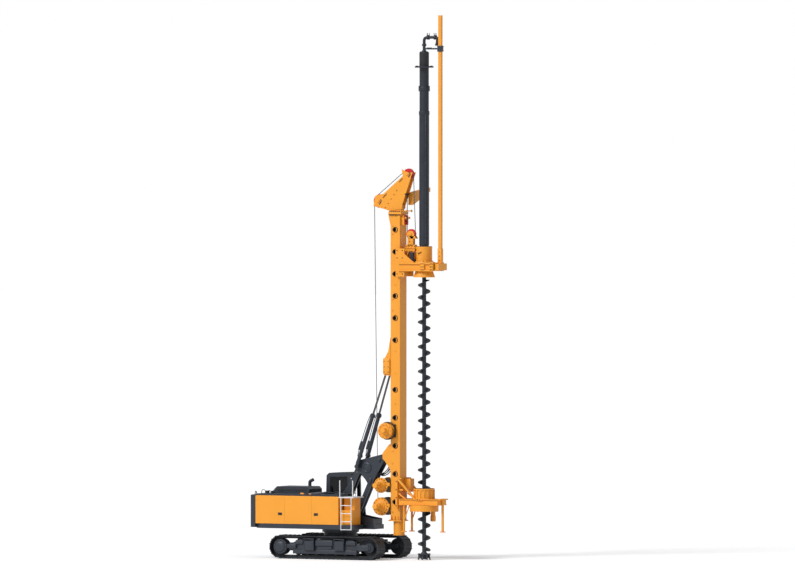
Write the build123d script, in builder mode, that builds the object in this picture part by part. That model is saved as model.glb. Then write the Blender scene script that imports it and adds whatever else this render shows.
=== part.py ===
"""Crawler-mounted rotary piling rig, set up for work with a continuous flight auger.

Frame: the origin is the point of the ground under the slewing axis, +X points
forward to the mast and the auger, +Y to the left (the cab's side) and +Z up.
All sizes are in millimetres. X values are distances from the slewing axis.
"""
import os
from math import atan2, cos, degrees, hypot, pi, radians, sin

from build123d import *

# ------------------------------------------------------------------ driving dimensions
# crawler undercarriage
track_length = 4600
track_height = 880
track_gauge = 2100
shoe_width = 600
shoe_thickness = 26
grouser_height = 26
grouser_thickness = 24
shoe_count = 54
chain_width = 190
chain_depth = 84
track_clearance = 0.4
frame_width = 280
frame_length = 3060
frame_bottom = 300
frame_top = 728
cheek_thickness = 40
roller_count = 7
roller_radius = 72
roller_pitch = 400
hub_radius = 95
beam_reach = 1335
beam_height = 330
beam_width = 350
beam_bottom = 352
beam_x = 630
beam_clearance = 0.4
pedestal_radius = 600

# slewing bearing and revolving frame
slew_radius = 640
slew_bottom = 960
slew_top = 1110
platform_thickness = 170
body_half_width = 1250
body_top = 2330
body_rear = -2920
body_front = 570
rear_block_front = -950
side_wall = 40
tail_reach = 3460
tail_gap = 12
channel_right = -470
hood_height = 250
door_rear_seam = -1700
door_front_seam = -560
door_gap = 6
hinge_gap = 0.5
slide_gap = 0.3

# operator's cab
cab_rear = -880
cab_front = 190
cab_right = 430
cab_left = 1300
cab_top = 3200
cab_wall = 45
glass_thickness = 8

# access steps
step_x = 905
step_width = 430
step_pitch = 298
step_tube = 38
landing_front = 1200
landing_top = 2320

# boom: a parallelogram of two links and a triangular frame
boom_foot_x = 200
boom_foot_z = 2010
link_dx = 650
link_dz = 1410
frame_rear_x = boom_foot_x + link_dx
frame_rear_z = boom_foot_z + link_dz
frame_low_x = 1320
frame_low_z = 2860
mast_pivot_x = 2000
mast_pivot_z = 3810
plate_gap_half = 180
plate_thickness = 32
pin_radius = 45
luff_low_y = 330
pin_clearance = 0.5

# mast
mast_rear = 2218
mast_front = 2621
mast_half_width = 235
mast_wall = 14
mast_bottom = 1460
mast_top = 12760
rail_depth = 80
rail_half_width = 262
rail_thickness = 30
port_radius = 84

# drilling axis, head and guide tube
auger_x = 3498
guide_x = 4172
guide_side = 120
guide_bottom = 10700
guide_top = 20100
head_bottom = 10440
head_top = 11570
beam_y = 440
shaft_radius = 76
flight_radius = 231
flight_pitch = 455
flight_thickness = 22
tip_height = 30
tube_radius = 173
tube_top = 18170

# winches (x, z of the drum axis)
main_winch_x = 1850
main_winch_z = 1960
second_winch_x = 1800
second_winch_z = 2740
side_winch_x = 2140
side_winch_z = 4760

# auger cleaner and its stand
cleaner_z = 1800
cleaner_height = 225
cleaner_radius = 530
stand_leg_spread = 310
stand_leg_x = 2823
front_leg_x = 4270


# ------------------------------------------------------------------ helpers
def side_plane(y=0):
    """A vertical plane along the machine: local x is X, local y is Z, its normal is -Y."""
    return Plane(origin=(0, y, 0), x_dir=(1, 0, 0), z_dir=(0, -1, 0))


def front_plane(x=0):
    """A vertical plane across the machine: local x is Y, local y is Z, its normal is +X."""
    return Plane(origin=(x, 0, 0), x_dir=(0, 1, 0), z_dir=(1, 0, 0))


def plan_plane(z=0):
    return Plane.XY.offset(z)


def plate(points, y, thickness, mode=Mode.ADD):
    """A plate with the side outline `points` (X, Z), centred on `y`."""
    with BuildSketch(side_plane(y)) as profile:
        with BuildLine():
            Polyline(*points, close=True)
        make_face()
    extrude(profile.sketch, amount=thickness / 2, both=True, mode=mode)


def slab(points, z0, z1, mode=Mode.ADD):
    """A horizontal slab with the plan outline `points` (X, Y)."""
    with BuildSketch(plan_plane(z0)) as profile:
        with BuildLine():
            Polyline(*points, close=True)
        make_face()
    extrude(profile.sketch, amount=z1 - z0, mode=mode)


def block(x, y, z, mode=Mode.ADD):
    """A box given by its (low, high) pairs along X, Y and Z."""
    with Locations(((x[0] + x[1]) / 2, (y[0] + y[1]) / 2, (z[0] + z[1]) / 2)):
        Box(x[1] - x[0], y[1] - y[0], z[1] - z[0], mode=mode)


def disc(x, z, radius, y0, y1, mode=Mode.ADD):
    """A cylinder along Y from y0 to y1."""
    with BuildSketch(side_plane((y0 + y1) / 2)) as profile:
        with Locations((x, z)):
            Circle(radius)
    extrude(profile.sketch, amount=abs(y1 - y0) / 2, both=True, mode=mode)


def drum(x, y, radius, z0, z1, mode=Mode.ADD):
    """A cylinder along Z from z0 to z1."""
    with BuildSketch(plan_plane(z0)) as profile:
        with Locations((x, y)):
            Circle(radius)
    extrude(profile.sketch, amount=z1 - z0, mode=mode)


def bar(start, end, radius, mode=Mode.ADD):
    """A round bar between two points."""
    run = Vector(*end) - Vector(*start)
    with BuildSketch(Plane(origin=start, z_dir=run)) as profile:
        Circle(radius)
    extrude(profile.sketch, amount=run.length, mode=mode)


def strap(start, end, half_width, y, thickness, end_radius=None, mode=Mode.ADD):
    """A flat link with round ends between two (X, Z) points."""
    radius = half_width if end_radius is None else end_radius
    run = hypot(end[0] - start[0], end[1] - start[1])
    turn = degrees(atan2(end[1] - start[1], end[0] - start[0]))
    middle = ((start[0] + end[0]) / 2, (start[1] + end[1]) / 2)
    with BuildSketch(side_plane(y)) as profile:
        with Locations(Location((middle[0], middle[1], 0), (0, 0, turn))):
            Rectangle(run, 2 * half_width)
        with Locations(start, end):
            Circle(radius)
    extrude(profile.sketch, amount=thickness / 2, both=True, mode=mode)


def save(solid, name):
    solid.label = name
    export_step(solid, f"parts/{name}.step")


os.makedirs("parts", exist_ok=True)

# ------------------------------------------------------------------ undercarriage
half_gauge = track_gauge / 2
track_radius = track_height / 2
wheel_x = track_length / 2 - track_radius
inner_radius = track_radius - grouser_height - shoe_thickness - chain_depth
wheel_radius = inner_radius - track_clearance
frame_half = frame_width / 2

with BuildPart() as centre_frame:
    with BuildSketch(plan_plane(beam_bottom)):
        Rectangle(1900, 1260)
    extrude(amount=beam_height)
    with BuildSketch(plan_plane(beam_bottom + beam_height)):
        Circle(pedestal_radius + 60)
    with BuildSketch(plan_plane(slew_bottom)):
        Circle(pedestal_radius)
    loft()
    for x in (-beam_x, beam_x):
        block(
            (x - beam_width / 2, x + beam_width / 2),
            (-beam_reach, beam_reach),
            (beam_bottom, beam_bottom + beam_height),
        )
save(centre_frame.part, "centre_frame")

with BuildPart() as slew_bearing:
    drum(0, 0, slew_radius, slew_bottom, slew_top)
    drum(0, 0, slew_radius + 45, slew_bottom + 20, slew_top - 50)
save(slew_bearing.part, "slew_bearing")


def stadium(radius, reach):
    """The outline of a track: two half circles of `radius` round x = -reach and +reach."""
    with Locations((0, track_radius)):
        SlotCenterToCenter(2 * reach, 2 * radius)


for side_name, side in (("right", -1), ("left", 1)):
    track_y = side * half_gauge

    shoe_radius = track_radius - grouser_height
    run = 4 * wheel_x + 2 * pi * shoe_radius
    with BuildPart() as track:
        with BuildSketch(side_plane(track_y)):
            stadium(shoe_radius, wheel_x)
            stadium_inner = shoe_radius - shoe_thickness
            with Locations((0, track_radius)):
                SlotCenterToCenter(2 * wheel_x, 2 * stadium_inner, mode=Mode.SUBTRACT)
        extrude(amount=shoe_width / 2, both=True)
        with BuildSketch(side_plane(track_y)):
            stadium(stadium_inner, wheel_x)
            with Locations((0, track_radius)):
                SlotCenterToCenter(2 * wheel_x, 2 * inner_radius, mode=Mode.SUBTRACT)
        extrude(amount=chain_width / 2, both=True)
        with BuildSketch(side_plane(track_y)):
            for index in range(shoe_count):
                along = index * run / shoe_count
                straight = 2 * wheel_x
                bend = pi * shoe_radius
                if along < straight:
                    place = Location((along - wheel_x, 2 * shoe_radius + grouser_height, 0))
                elif along < straight + bend:
                    turn = (along - straight) / shoe_radius
                    place = Location(
                        (
                            wheel_x + shoe_radius * sin(turn),
                            track_radius + shoe_radius * cos(turn),
                            0,
                        ),
                        (0, 0, -degrees(turn)),
                    )
                elif along < 2 * straight + bend:
                    place = Location((wheel_x - (along - straight - bend), grouser_height, 0))
                else:
                    turn = (along - 2 * straight - bend) / shoe_radius
                    place = Location(
                        (
                            -wheel_x - shoe_radius * sin(turn),
                            track_radius - shoe_radius * cos(turn),
                            0,
                        ),
                        (0, 0, -degrees(turn)),
                    )
                with Locations(place):
                    Rectangle(grouser_thickness, 2 * grouser_height)
        extrude(amount=shoe_width / 2, both=True)
    save(track.part, f"track_{side_name}")

    frame_x = frame_length / 2
    cheek_y = (frame_width - cheek_thickness) / 2
    roller_z = track_radius - inner_radius + track_clearance + roller_radius
    rollers_x = [(n - (roller_count - 1) / 2) * roller_pitch for n in range(roller_count)]
    with BuildPart() as track_frame:
        plate(
            [
                (-frame_x, frame_bottom),
                (frame_x, frame_bottom),
                (frame_x, track_radius + 70),
                (frame_x - 420, frame_top),
                (-frame_x + 420, frame_top),
                (-frame_x, track_radius + 70),
            ],
            track_y,
            frame_width,
        )
        for y in (track_y - cheek_y, track_y + cheek_y):
            for x in (-wheel_x, wheel_x):
                plate(
                    [
                        (0.8 * x, track_radius - 80),
                        (x, track_radius - 80),
                        (x * 1.045, track_radius - 50),
                        (x * 1.045, track_radius + 50),
                        (x, track_radius + 80),
                        (0.8 * x, track_radius + 80),
                    ],
                    y,
                    cheek_thickness,
                )
            for x in rollers_x:
                plate(
                    [
                        (x - 90, frame_bottom),
                        (x + 90, frame_bottom),
                        (x + 45, roller_z - 30),
                        (x - 45, roller_z - 30),
                    ],
                    y,
                    cheek_thickness,
                )
        for x in (-beam_x, beam_x):
            block(
                (x - beam_width / 2 - beam_clearance, x + beam_width / 2 + beam_clearance),
                (track_y - frame_width, track_y + frame_width),
                (beam_bottom - beam_clearance, beam_bottom + beam_height + beam_clearance),
                mode=Mode.SUBTRACT,
            )
    save(track_frame.part, f"track_frame_{side_name}")

    inner_face = cheek_y - cheek_thickness / 2
    with BuildPart() as wheels:
        for x in (-wheel_x, wheel_x):
            disc(x, track_radius, wheel_radius, track_y - 62, track_y + 62)
            disc(x, track_radius, hub_radius, track_y - inner_face, track_y + inner_face)
        for x in rollers_x:
            disc(x, roller_z, roller_radius, track_y - 86, track_y + 86)
            disc(x, roller_z, 28, track_y - inner_face, track_y + inner_face)
    save(wheels.part, f"track_wheels_{side_name}")

# ------------------------------------------------------------------ revolving upper structure
platform_bottom = slew_top
platform_top = slew_top + platform_thickness
deck_z = body_top
channel_left = -channel_right
cab_floor = platform_top

with BuildPart() as revolving_frame:
    slab(
        [
            (body_rear - tail_gap, -body_half_width + 120),
            (body_rear - tail_gap, body_half_width - 120),
            (body_rear + 200, body_half_width),
            (cab_front + 20, body_half_width + 40),
            (cab_front + 20, channel_left - 40),
            (1150, 380),
            (1610, 380),
            (1610, -380),
            (1150, -380),
            (landing_front, channel_right),
            (landing_front, -body_half_width),
            (body_rear + 200, -body_half_width),
        ],
        platform_bottom,
        platform_top,
    )
save(revolving_frame.part, "revolving_frame")

boom_foot_pin = (boom_foot_x, boom_foot_z)
frame_rear_pin = (frame_rear_x, frame_rear_z)
frame_low_pin = (frame_low_x, frame_low_z)
link_foot_pin = (frame_low_x - link_dx, frame_low_z - link_dz)
mast_pin = (mast_pivot_x, mast_pivot_z)
lift_foot = (-350, 1700)
lift_eye = (boom_foot_x + 0.85 * link_dx, boom_foot_z + 0.85 * link_dz)
lift_drift = 5

# The boom foot: twin plates on the frame with the link pins between them.
foot_plate_y = 330
with BuildPart() as boom_foot:
    for y in (-foot_plate_y, foot_plate_y):
        plate(
            [
                (-620, platform_top),
                (1560, platform_top),
                (1560, 1500),
                (1180, 1560),
                (880, 1620),
                (830, 2120),
                (560, 2240),
                (120, 2240),
                (-60, 2090),
                (-420, 1880),
                (-620, 1880),
            ],
            y,
            40,
        )
    block((1480, 1560), (-foot_plate_y, foot_plate_y), (platform_top, 1480))
    block((1000, 1480), (-foot_plate_y, foot_plate_y), (platform_top, platform_top + 40))
    disc(*lift_foot, pin_radius, -foot_plate_y, foot_plate_y)
    for pin in (boom_foot_pin, link_foot_pin):
        disc(*pin, pin_radius + pin_clearance, -400, 400, mode=Mode.SUBTRACT)
save(boom_foot.part, "boom_foot")

with BuildPart() as counterweight:
    with BuildSketch(plan_plane(platform_bottom + 30)):
        with BuildLine():
            Polyline((body_rear - tail_gap, -body_half_width), (body_rear - tail_gap, body_half_width))
            Line((body_rear - tail_gap, body_half_width), (body_rear - 200, body_half_width))
            ThreePointArc(
                (body_rear - 200, body_half_width),
                (-tail_reach, 0),
                (body_rear - 200, -body_half_width),
            )
            Line((body_rear - 200, -body_half_width), (body_rear - tail_gap, -body_half_width))
        make_face()
    extrude(amount=deck_z - platform_bottom - 30)
    rear_corners = counterweight.edges().filter_by(Axis.Z).sort_by(Axis.X)[:2]
    fillet(rear_corners, 120)
save(counterweight.part, "counterweight")

# The engine house: an L-shaped housing, open at the doors and under the hood.
house_outline = [
    (body_rear, -body_half_width + side_wall),
    (body_front, -body_half_width + side_wall),
    (body_front, channel_right),
    (rear_block_front, channel_right),
    (rear_block_front, body_half_width - side_wall),
    (body_rear, body_half_width - side_wall),
]
house_wall = 12
with BuildPart() as engine_house:
    slab(house_outline, platform_top, deck_z - side_wall)
    with BuildSketch(plan_plane(platform_top)):
        with BuildLine():
            Polyline(*house_outline, close=True)
        make_face()
        offset(amount=-house_wall, kind=Kind.INTERSECTION)
    extrude(amount=deck_z - side_wall - house_wall - platform_top, mode=Mode.SUBTRACT)
    # door openings in the right and the left wall
    for x0, x1, side in (
        (body_rear, door_rear_seam, -1),
        (door_front_seam, body_front, -1),
        (body_rear, door_rear_seam, 1),
    ):
        y = side * (body_half_width - side_wall)
        block(
            (x0 + 60, x1 - 60),
            (y - 2 * house_wall, y + 2 * house_wall),
            (platform_top + 60, deck_z - side_wall - 60),
            mode=Mode.SUBTRACT,
        )
    # the engine bay's opening under the hood
    block(
        (-2500, -1100),
        (-460, 460),
        (deck_z - side_wall - 2 * house_wall, deck_z),
        mode=Mode.SUBTRACT,
    )
save(engine_house.part, "engine_house")

panels = [
    # node, ((rear x, front x, side), ...)
    ("door_right_rear", ((body_rear, door_rear_seam, -1),)),
    ("door_right_front", ((door_front_seam, body_front, -1),)),
    ("door_left_rear", ((body_rear, door_rear_seam, 1),)),
    (
        "side_panels",
        ((door_rear_seam, door_front_seam, -1), (door_rear_seam, rear_block_front, 1)),
    ),
]
for name, places in panels:
    gap = door_gap / 2
    with BuildPart() as panel:
        for x0, x1, side in places:
            outside = side * body_half_width
            with BuildSketch(Plane.YZ.offset(x0 + gap)):
                with BuildLine():
                    Polyline(
                        (outside - side * side_wall, platform_top + 6),
                        (outside, platform_top + 6),
                        (outside, deck_z - door_gap - 34),
                        (outside - side * 34, deck_z - door_gap),
                        (outside - side * side_wall, deck_z - door_gap),
                        close=True,
                    )
                make_face()
            extrude(amount=x1 - x0 - door_gap)
    save(panel.part, name)

with BuildPart() as deck:
    slab(
        [
            (body_rear + 20, -body_half_width + 70),
            (body_front - 10, -body_half_width + 70),
            (body_front - 10, channel_right),
            (rear_block_front, channel_right),
            (rear_block_front, body_half_width - 70),
            (body_rear + 20, body_half_width - 70),
        ],
        deck_z - side_wall,
        deck_z + 60,
    )
    block((-2500, -1100), (-460, 460), (deck_z - side_wall, deck_z + 60), mode=Mode.SUBTRACT)
save(deck.part, "deck")

with BuildPart() as hood:
    plate(
        [
            (-2540, deck_z + 60),
            (-2540, deck_z + 200),
            (-2420, deck_z + hood_height + 60),
            (-1160, deck_z + hood_height + 60),
            (-1060, deck_z + 220),
            (-1060, deck_z + 60),
        ],
        0,
        1000,
    )
    plate(
        [
            (-2520, deck_z + 60),
            (-2520, deck_z + 190),
            (-2410, deck_z + hood_height + 45),
            (-1170, deck_z + hood_height + 45),
            (-1080, deck_z + 212),
            (-1080, deck_z + 60),
        ],
        0,
        970,
        mode=Mode.SUBTRACT,
    )
save(hood.part, "hood")

with BuildPart() as engine:
    block((-2420, -1180), (-380, 380), (platform_top, 2180))
    top = engine.faces().sort_by(Axis.Z)[-1]
    chamfer(top.edges(), 90)
save(engine.part, "engine")

exhaust_x = -1620
exhaust_y = 590
with BuildPart() as exhaust:
    with BuildLine() as exhaust_path:
        FilletPolyline(
            (exhaust_x, exhaust_y, deck_z + 60),
            (exhaust_x, exhaust_y, deck_z + 470),
            (exhaust_x + 150, exhaust_y, deck_z + 540),
            radius=80,
        )
    with BuildSketch(plan_plane(deck_z + 60)):
        with Locations((exhaust_x, exhaust_y)):
            Circle(62)
            Circle(54, mode=Mode.SUBTRACT)
    sweep()
save(exhaust.part, "exhaust")

# ------------------------------------------------------------------ operator's cab
cab_half = (cab_left - cab_right) / 2
cab_y = (cab_left + cab_right) / 2


def cab_outline(inset=0):
    """Side outline of the cab, drawn in by `inset` all round."""
    return [
        (cab_rear + inset, cab_floor + inset),
        (cab_front - 60 - inset, cab_floor + inset),
        (cab_front - inset, cab_floor + 420),
        (cab_front - 40 - inset, cab_top - 160 - inset),
        (cab_front - 130 - inset, cab_top - 30 - inset),
        (cab_rear + 160 + inset, cab_top - 60 - inset),
        (cab_rear + 50 + inset, cab_top - 150 - inset),
    ]


side_glass = [
    (cab_rear + 190, cab_floor + 640),
    (cab_front - 120, cab_floor + 640),
    (cab_front - 140, cab_top - 190),
    (cab_rear + 210, cab_top - 210),
]
door_rear = cab_rear + 90
door_outline = [
    (door_rear, cab_floor + 60),
    (cab_front - 120, cab_floor + 60),
    (cab_front - 80, cab_floor + 420),
    (cab_front - 110, cab_top - 160),
    (door_rear + 10, cab_top - 180),
]
with BuildPart() as cab:
    plate(cab_outline(), cab_y, 2 * cab_half)
    plate(cab_outline(cab_wall), cab_y, 2 * (cab_half - cab_wall), mode=Mode.SUBTRACT)
    plate(side_glass, cab_right, 4 * cab_wall, mode=Mode.SUBTRACT)
    plate(door_outline, cab_left, 4 * cab_wall, mode=Mode.SUBTRACT)
    # windscreen and rear window
    block(
        (cab_front - 200, cab_front + 20),
        (cab_right + 80, cab_left - 80),
        (cab_floor + 330, cab_top - 200),
        mode=Mode.SUBTRACT,
    )
    block(
        (cab_rear - 20, cab_rear + 90),
        (cab_right + 100, cab_left - 100),
        (cab_floor + 800, cab_top - 260),
        mode=Mode.SUBTRACT,
    )
save(cab.part, "cab")

with BuildPart() as cab_door:
    gap = door_gap
    plate(
        [
            (door_rear + hinge_gap, cab_floor + 60 + gap),
            (cab_front - 120 - gap, cab_floor + 60 + gap),
            (cab_front - 80 - gap, cab_floor + 420),
            (cab_front - 110 - gap, cab_top - 160 - gap),
            (door_rear + 10 + hinge_gap, cab_top - 180 - gap),
        ],
        cab_left - cab_wall / 2,
        cab_wall,
    )
    plate(
        [
            (door_rear + 90, cab_floor + 640),
            (cab_front - 170, cab_floor + 640),
            (cab_front - 190, cab_top - 260),
            (door_rear + 100, cab_top - 280),
        ],
        cab_left - cab_wall / 2,
        2 * cab_wall,
        mode=Mode.SUBTRACT,
    )
save(cab_door.part, "cab_door")

with BuildPart() as cab_glass:
    plate(side_glass, cab_right + cab_wall / 2, glass_thickness)
    block(
        (cab_rear + 14, cab_rear + 14 + glass_thickness),
        (cab_right + 100, cab_left - 100),
        (cab_floor + 800, cab_top - 260),
    )
save(cab_glass.part, "cab_glass")

with BuildPart() as seat:
    plate(
        [
            (-640, cab_floor + cab_wall),
            (-280, cab_floor + cab_wall),
            (-240, cab_floor + 420),
            (-200, cab_floor + 560),
            (-560, cab_floor + 560),
            (-620, cab_floor + 1180),
            (-740, cab_floor + 1180),
            (-700, cab_floor + 420),
        ],
        cab_y,
        480,
    )
save(seat.part, "seat")

# ------------------------------------------------------------------ access steps and landing
step_y = -body_half_width - 20
step_bottom = platform_bottom - 20
with BuildPart() as steps:
    for x in (step_x - step_width / 2, step_x + step_width / 2):
        bar((x, step_y, step_bottom), (x, step_y, landing_top - 40), step_tube / 2)
    for n in range(4):
        z = step_bottom + 20 + n * step_pitch
        bar((step_x - step_width / 2, step_y, z), (step_x + step_width / 2, step_y, z), 16)
save(steps.part, "steps")

with BuildPart() as landing:
    block(
        (body_front + 20, landing_front),
        (-body_half_width - 20, channel_right + 20),
        (landing_top - 40, landing_top),
    )
    for x, y in ((body_front + 60, -body_half_width + 10), (landing_front - 60, -body_half_width + 60)):
        bar((x, y, landing_top), (x, y, landing_top + 610), 20)
save(landing.part, "landing")

with BuildPart() as side_box:
    block((640, 1090), (-1150, -930), (platform_top, 1830))
    block((640, 1090), (-930, channel_right - 20), (platform_top, landing_top - 40))
save(side_box.part, "side_box")

# ------------------------------------------------------------------ boom linkage
link_y = 115
link_thickness = 60
with BuildPart() as upper_link:
    for y in (-link_y, link_y):
        strap(boom_foot_pin, frame_rear_pin, 105, y, link_thickness)
    disc(*boom_foot_pin, 80, -link_y, link_y)
    disc(*boom_foot_pin, pin_radius, -foot_plate_y - 15, foot_plate_y + 15)
    disc(*lift_eye, pin_radius + lift_drift, -200, 200, mode=Mode.SUBTRACT)
    disc(*frame_rear_pin, pin_radius + pin_clearance, -400, 400, mode=Mode.SUBTRACT)
save(upper_link.part, "upper_link")

with BuildPart() as lower_link:
    for y in (-link_y, link_y):
        strap(link_foot_pin, frame_low_pin, 85, y, link_thickness)
    disc(*link_foot_pin, 65, -link_y, link_y)
    disc(*link_foot_pin, pin_radius, -foot_plate_y - 15, foot_plate_y + 15)
    disc(*frame_low_pin, pin_radius + pin_clearance, -400, 400, mode=Mode.SUBTRACT)
save(lower_link.part, "lower_link")

frame_plate_outline = [
    (740, 3300),
    (740, 3600),
    (830, 3640),
    (1960, 3910),
    (2070, 3860),
    (2070, 3740),
    (1930, 3690),
    (1560, 3040),
    (1430, 2790),
    (1250, 2770),
    (1120, 2960),
    (970, 3110),
    (900, 3290),
]
with BuildPart() as link_frame:
    for y in (-plate_gap_half, plate_gap_half):
        plate(frame_plate_outline, y, plate_thickness)
    inner = plate_gap_half - plate_thickness / 2
    disc(1200, 3380, 130, -inner, inner)
    disc(*frame_rear_pin, pin_radius, -luff_low_y - 50, luff_low_y + 50)
    disc(*frame_low_pin, pin_radius, -inner, inner)
    disc(*mast_pin, pin_radius + pin_clearance, -400, 400, mode=Mode.SUBTRACT)
save(link_frame.part, "link_frame")

# ------------------------------------------------------------------ cylinders


def along(start, end, distance):
    """The point `distance` from `start` towards `end`."""
    length = hypot(*(e - s for s, e in zip(start, end)))
    return tuple(s + (e - s) * distance / length for s, e in zip(start, end))


def hypot3(start, end):
    return sum((e - s) ** 2 for s, e in zip(start, end)) ** 0.5


def point_along(start, end, distance):
    length = hypot3(start, end)
    return tuple(s + (e - s) * distance / length for s, e in zip(start, end))


luff_eye_x = 2020
luff_eye_z = 6950
luff_high_y = 166
eye_drift = 13
cheek_y_offset = 76
eye_half = 32


def upright_disc(x, y, z, radius, half, mode=Mode.ADD):
    """A short cylinder along Y centred on (x, y, z)."""
    disc(x, z, radius, y - half, y + half, mode=mode)


def cylinder(name, foot, eye, barrel_length, barrel_radius, rod_radius, eye_radius, pin_half):
    """A hydraulic cylinder: the barrel turns on the pin at `foot`, the rod carries its own pin at `eye`."""
    end = point_along(foot, eye, barrel_length)
    with BuildPart() as barrel:
        bar(point_along(foot, eye, 0.9 * eye_radius), end, barrel_radius)
        bar(point_along(foot, eye, barrel_length - 130), end, barrel_radius + 10)
        upright_disc(*foot, eye_radius, eye_half)
        upright_disc(*foot, pin_radius + pin_clearance, 3 * eye_half, mode=Mode.SUBTRACT)
        bar(
            point_along(foot, eye, 2 * eye_radius),
            point_along(foot, eye, barrel_length + 10),
            rod_radius + 1,
            mode=Mode.SUBTRACT,
        )
    save(barrel.part, f"{name}_barrel")
    with BuildPart() as rod:
        bar(point_along(foot, eye, barrel_length - 900), point_along(eye, foot, 0.8 * eye_radius), rod_radius)
        upright_disc(*eye, eye_radius, eye_half)
        upright_disc(*eye, pin_radius, pin_half)
    save(rod.part, f"{name}_rod")


for side_name, side in (("right", -1), ("left", 1)):
    cylinder(
        f"luffing_{side_name}",
        (frame_rear_x, side * luff_low_y, frame_rear_z),
        (luff_eye_x, side * luff_high_y, luff_eye_z),
        2060,
        72,
        38,
        82,
        cheek_y_offset + 12,
    )

# ------------------------------------------------------------------ mast
mast_x = (mast_rear + mast_front - rail_depth) / 2
box_front = mast_front - rail_depth
flange = 60
port_rows = [(8110 + n * 816, "upper") for n in range(6)] + [(2130 + n * 1037, "lower") for n in range(5)]
with BuildPart() as mast:
    with BuildSketch(plan_plane(mast_bottom)):
        with Locations(((mast_rear + box_front) / 2, 0)):
            Rectangle(box_front - mast_rear, 2 * mast_half_width)
        with Locations((mast_front - rail_depth / 2, 0)):
            Rectangle(rail_depth, 2 * mast_half_width)
        with Locations(((mast_rear + mast_front) / 2, 0)):
            Rectangle(
                mast_front - mast_rear - 2 * mast_wall,
                2 * (mast_half_width - mast_wall),
                mode=Mode.SUBTRACT,
            )
        for side in (-1, 1):
            with Locations((mast_front - rail_depth / 2, side * (rail_half_width - rail_thickness / 2))):
                Rectangle(rail_depth, rail_thickness)
    extrude(amount=mast_top - mast_bottom)
    # end flanges
    for z in (mast_bottom - 40, mast_top):
        block(
            (mast_rear - flange, mast_front + flange),
            (-mast_half_width - flange, mast_half_width + flange),
            (z, z + 40),
        )
    for z, _ in port_rows:
        disc(mast_x, z, port_radius + 28, -mast_half_width - 8, -mast_half_width)
        disc(mast_x, z, port_radius + 28, mast_half_width, mast_half_width + 8)
        disc(mast_x, z, port_radius, -mast_half_width - 20, mast_half_width + 20, mode=Mode.SUBTRACT)
save(mast.part, "mast")

with BuildPart() as mast_brackets:
    # eye bracket of the luffing cylinders
    for y in [side * luff_high_y + out * cheek_y_offset for side in (-1, 1) for out in (-1, 1)]:
        plate(
            [
                (mast_rear, 6800),
                (mast_rear, 8200),
                (mast_rear - 90, 7700),
                (luff_eye_x - 90, 7350),
                (luff_eye_x - 90, 6850),
                (luff_eye_x - 40, 6800),
            ],
            y,
            24,
        )
    block((mast_rear - 110, mast_rear), (-luff_high_y - 43, luff_high_y + 43), (7150, 7300))
    disc(luff_eye_x, luff_eye_z, pin_radius + eye_drift, -300, 300, mode=Mode.SUBTRACT)
    # pivot ears
    ear = plate_gap_half + plate_thickness / 2 + 6 + 15
    for y in (-ear, ear):
        plate(
            [
                (mast_rear, 3300),
                (mast_rear, 4260),
                (mast_rear - 60, 4260),
                (mast_pivot_x - 120, 3930),
                (mast_pivot_x - 120, 3720),
                (mast_pivot_x - 30, 3640),
            ],
            y,
            30,
        )
    disc(*mast_pin, pin_radius, -ear - 15, ear + 15)
save(mast_brackets.part, "mast_brackets")

foot_x = 2450
with BuildPart() as mast_foot:
    drum(foot_x, 0, 205, 920, mast_bottom - 40)
    drum(foot_x, 0, 225, 895, 925)
save(mast_foot.part, "mast_foot")

# ------------------------------------------------------------------ cathead
rear_sheave = (1650, 13240, 215)
top_sheave = (2865, 14250, 200)
head_sheave = (2965, 12030, 185)
cathead_y = 130
sheave_half = 45


def sheave(x, z, radius, y, bore):
    """A grooved rope sheave turning about Y."""
    with BuildSketch(Plane(origin=(x, y, z), x_dir=(0, 1, 0), z_dir=(1, 0, 0))) as profile:
        with BuildLine():
            Polyline(
                (-sheave_half, bore),
                (sheave_half, bore),
                (sheave_half, radius),
                (0.7 * sheave_half, radius),
                (0.2 * sheave_half, radius - 26),
                (-0.2 * sheave_half, radius - 26),
                (-0.7 * sheave_half, radius),
                (-sheave_half, radius),
                close=True,
            )
        make_face()
    revolve(profile.sketch, axis=Axis((x, y, z), (0, 1, 0)))


cathead_outline = [
    (1450, 13060),
    (1530, 13440),
    (1880, 13520),
    (2680, 14180),
    (2630, 14420),
    (2900, 14300),
    (3080, 14310),
    (2640, 13060),
    (2640, 12960),
    (2230, 12900),
    (2100, 12900),
]
with BuildPart() as cathead:
    for y in (-cathead_y, cathead_y):
        plate(cathead_outline, y, 26)
    block(
        (mast_rear - flange, mast_front + flange),
        (-mast_half_width - flange, mast_half_width + flange),
        (mast_top + 40, mast_top + 90),
    )
    block((2180, 2600), (-cathead_y, cathead_y), (mast_top + 90, 13100))
    for x, z, _ in (rear_sheave, top_sheave):
        disc(x, z, 40, -cathead_y, cathead_y)
save(cathead.part, "cathead")

for name, (x, z, radius) in (("cathead_rear_sheave", rear_sheave), ("cathead_top_sheave", top_sheave)):
    with BuildPart() as wheel:
        sheave(x, z, radius, 0, 40 + pin_clearance)
    save(wheel.part, name)

with BuildPart() as side_jib:
    with BuildSketch(Plane(origin=(2860, cathead_y + 13, 0), x_dir=(1, 0, 0), z_dir=(0, 1, 0))):
        with Locations((0, -13330)):
            Rectangle(200, 460)
    with BuildSketch(Plane(origin=(2860, 1560, 0), x_dir=(1, 0, 0), z_dir=(0, 1, 0))):
        with Locations((0, -13660)):
            Rectangle(140, 150)
    loft()
save(side_jib.part, "side_jib")

# ------------------------------------------------------------------ winches on the mast


def winch(name, x, z, drum_radius, flange_radius, half, shaft_radius):
    with BuildPart() as spool:
        disc(x, z, drum_radius, -half, half)
        for y in (-half, half - 16):
            disc(x, z, flange_radius, y, y + 16)
        disc(x, z, shaft_radius, -half - 50, half + 50)
    save(spool.part, f"{name}_drum")


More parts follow.
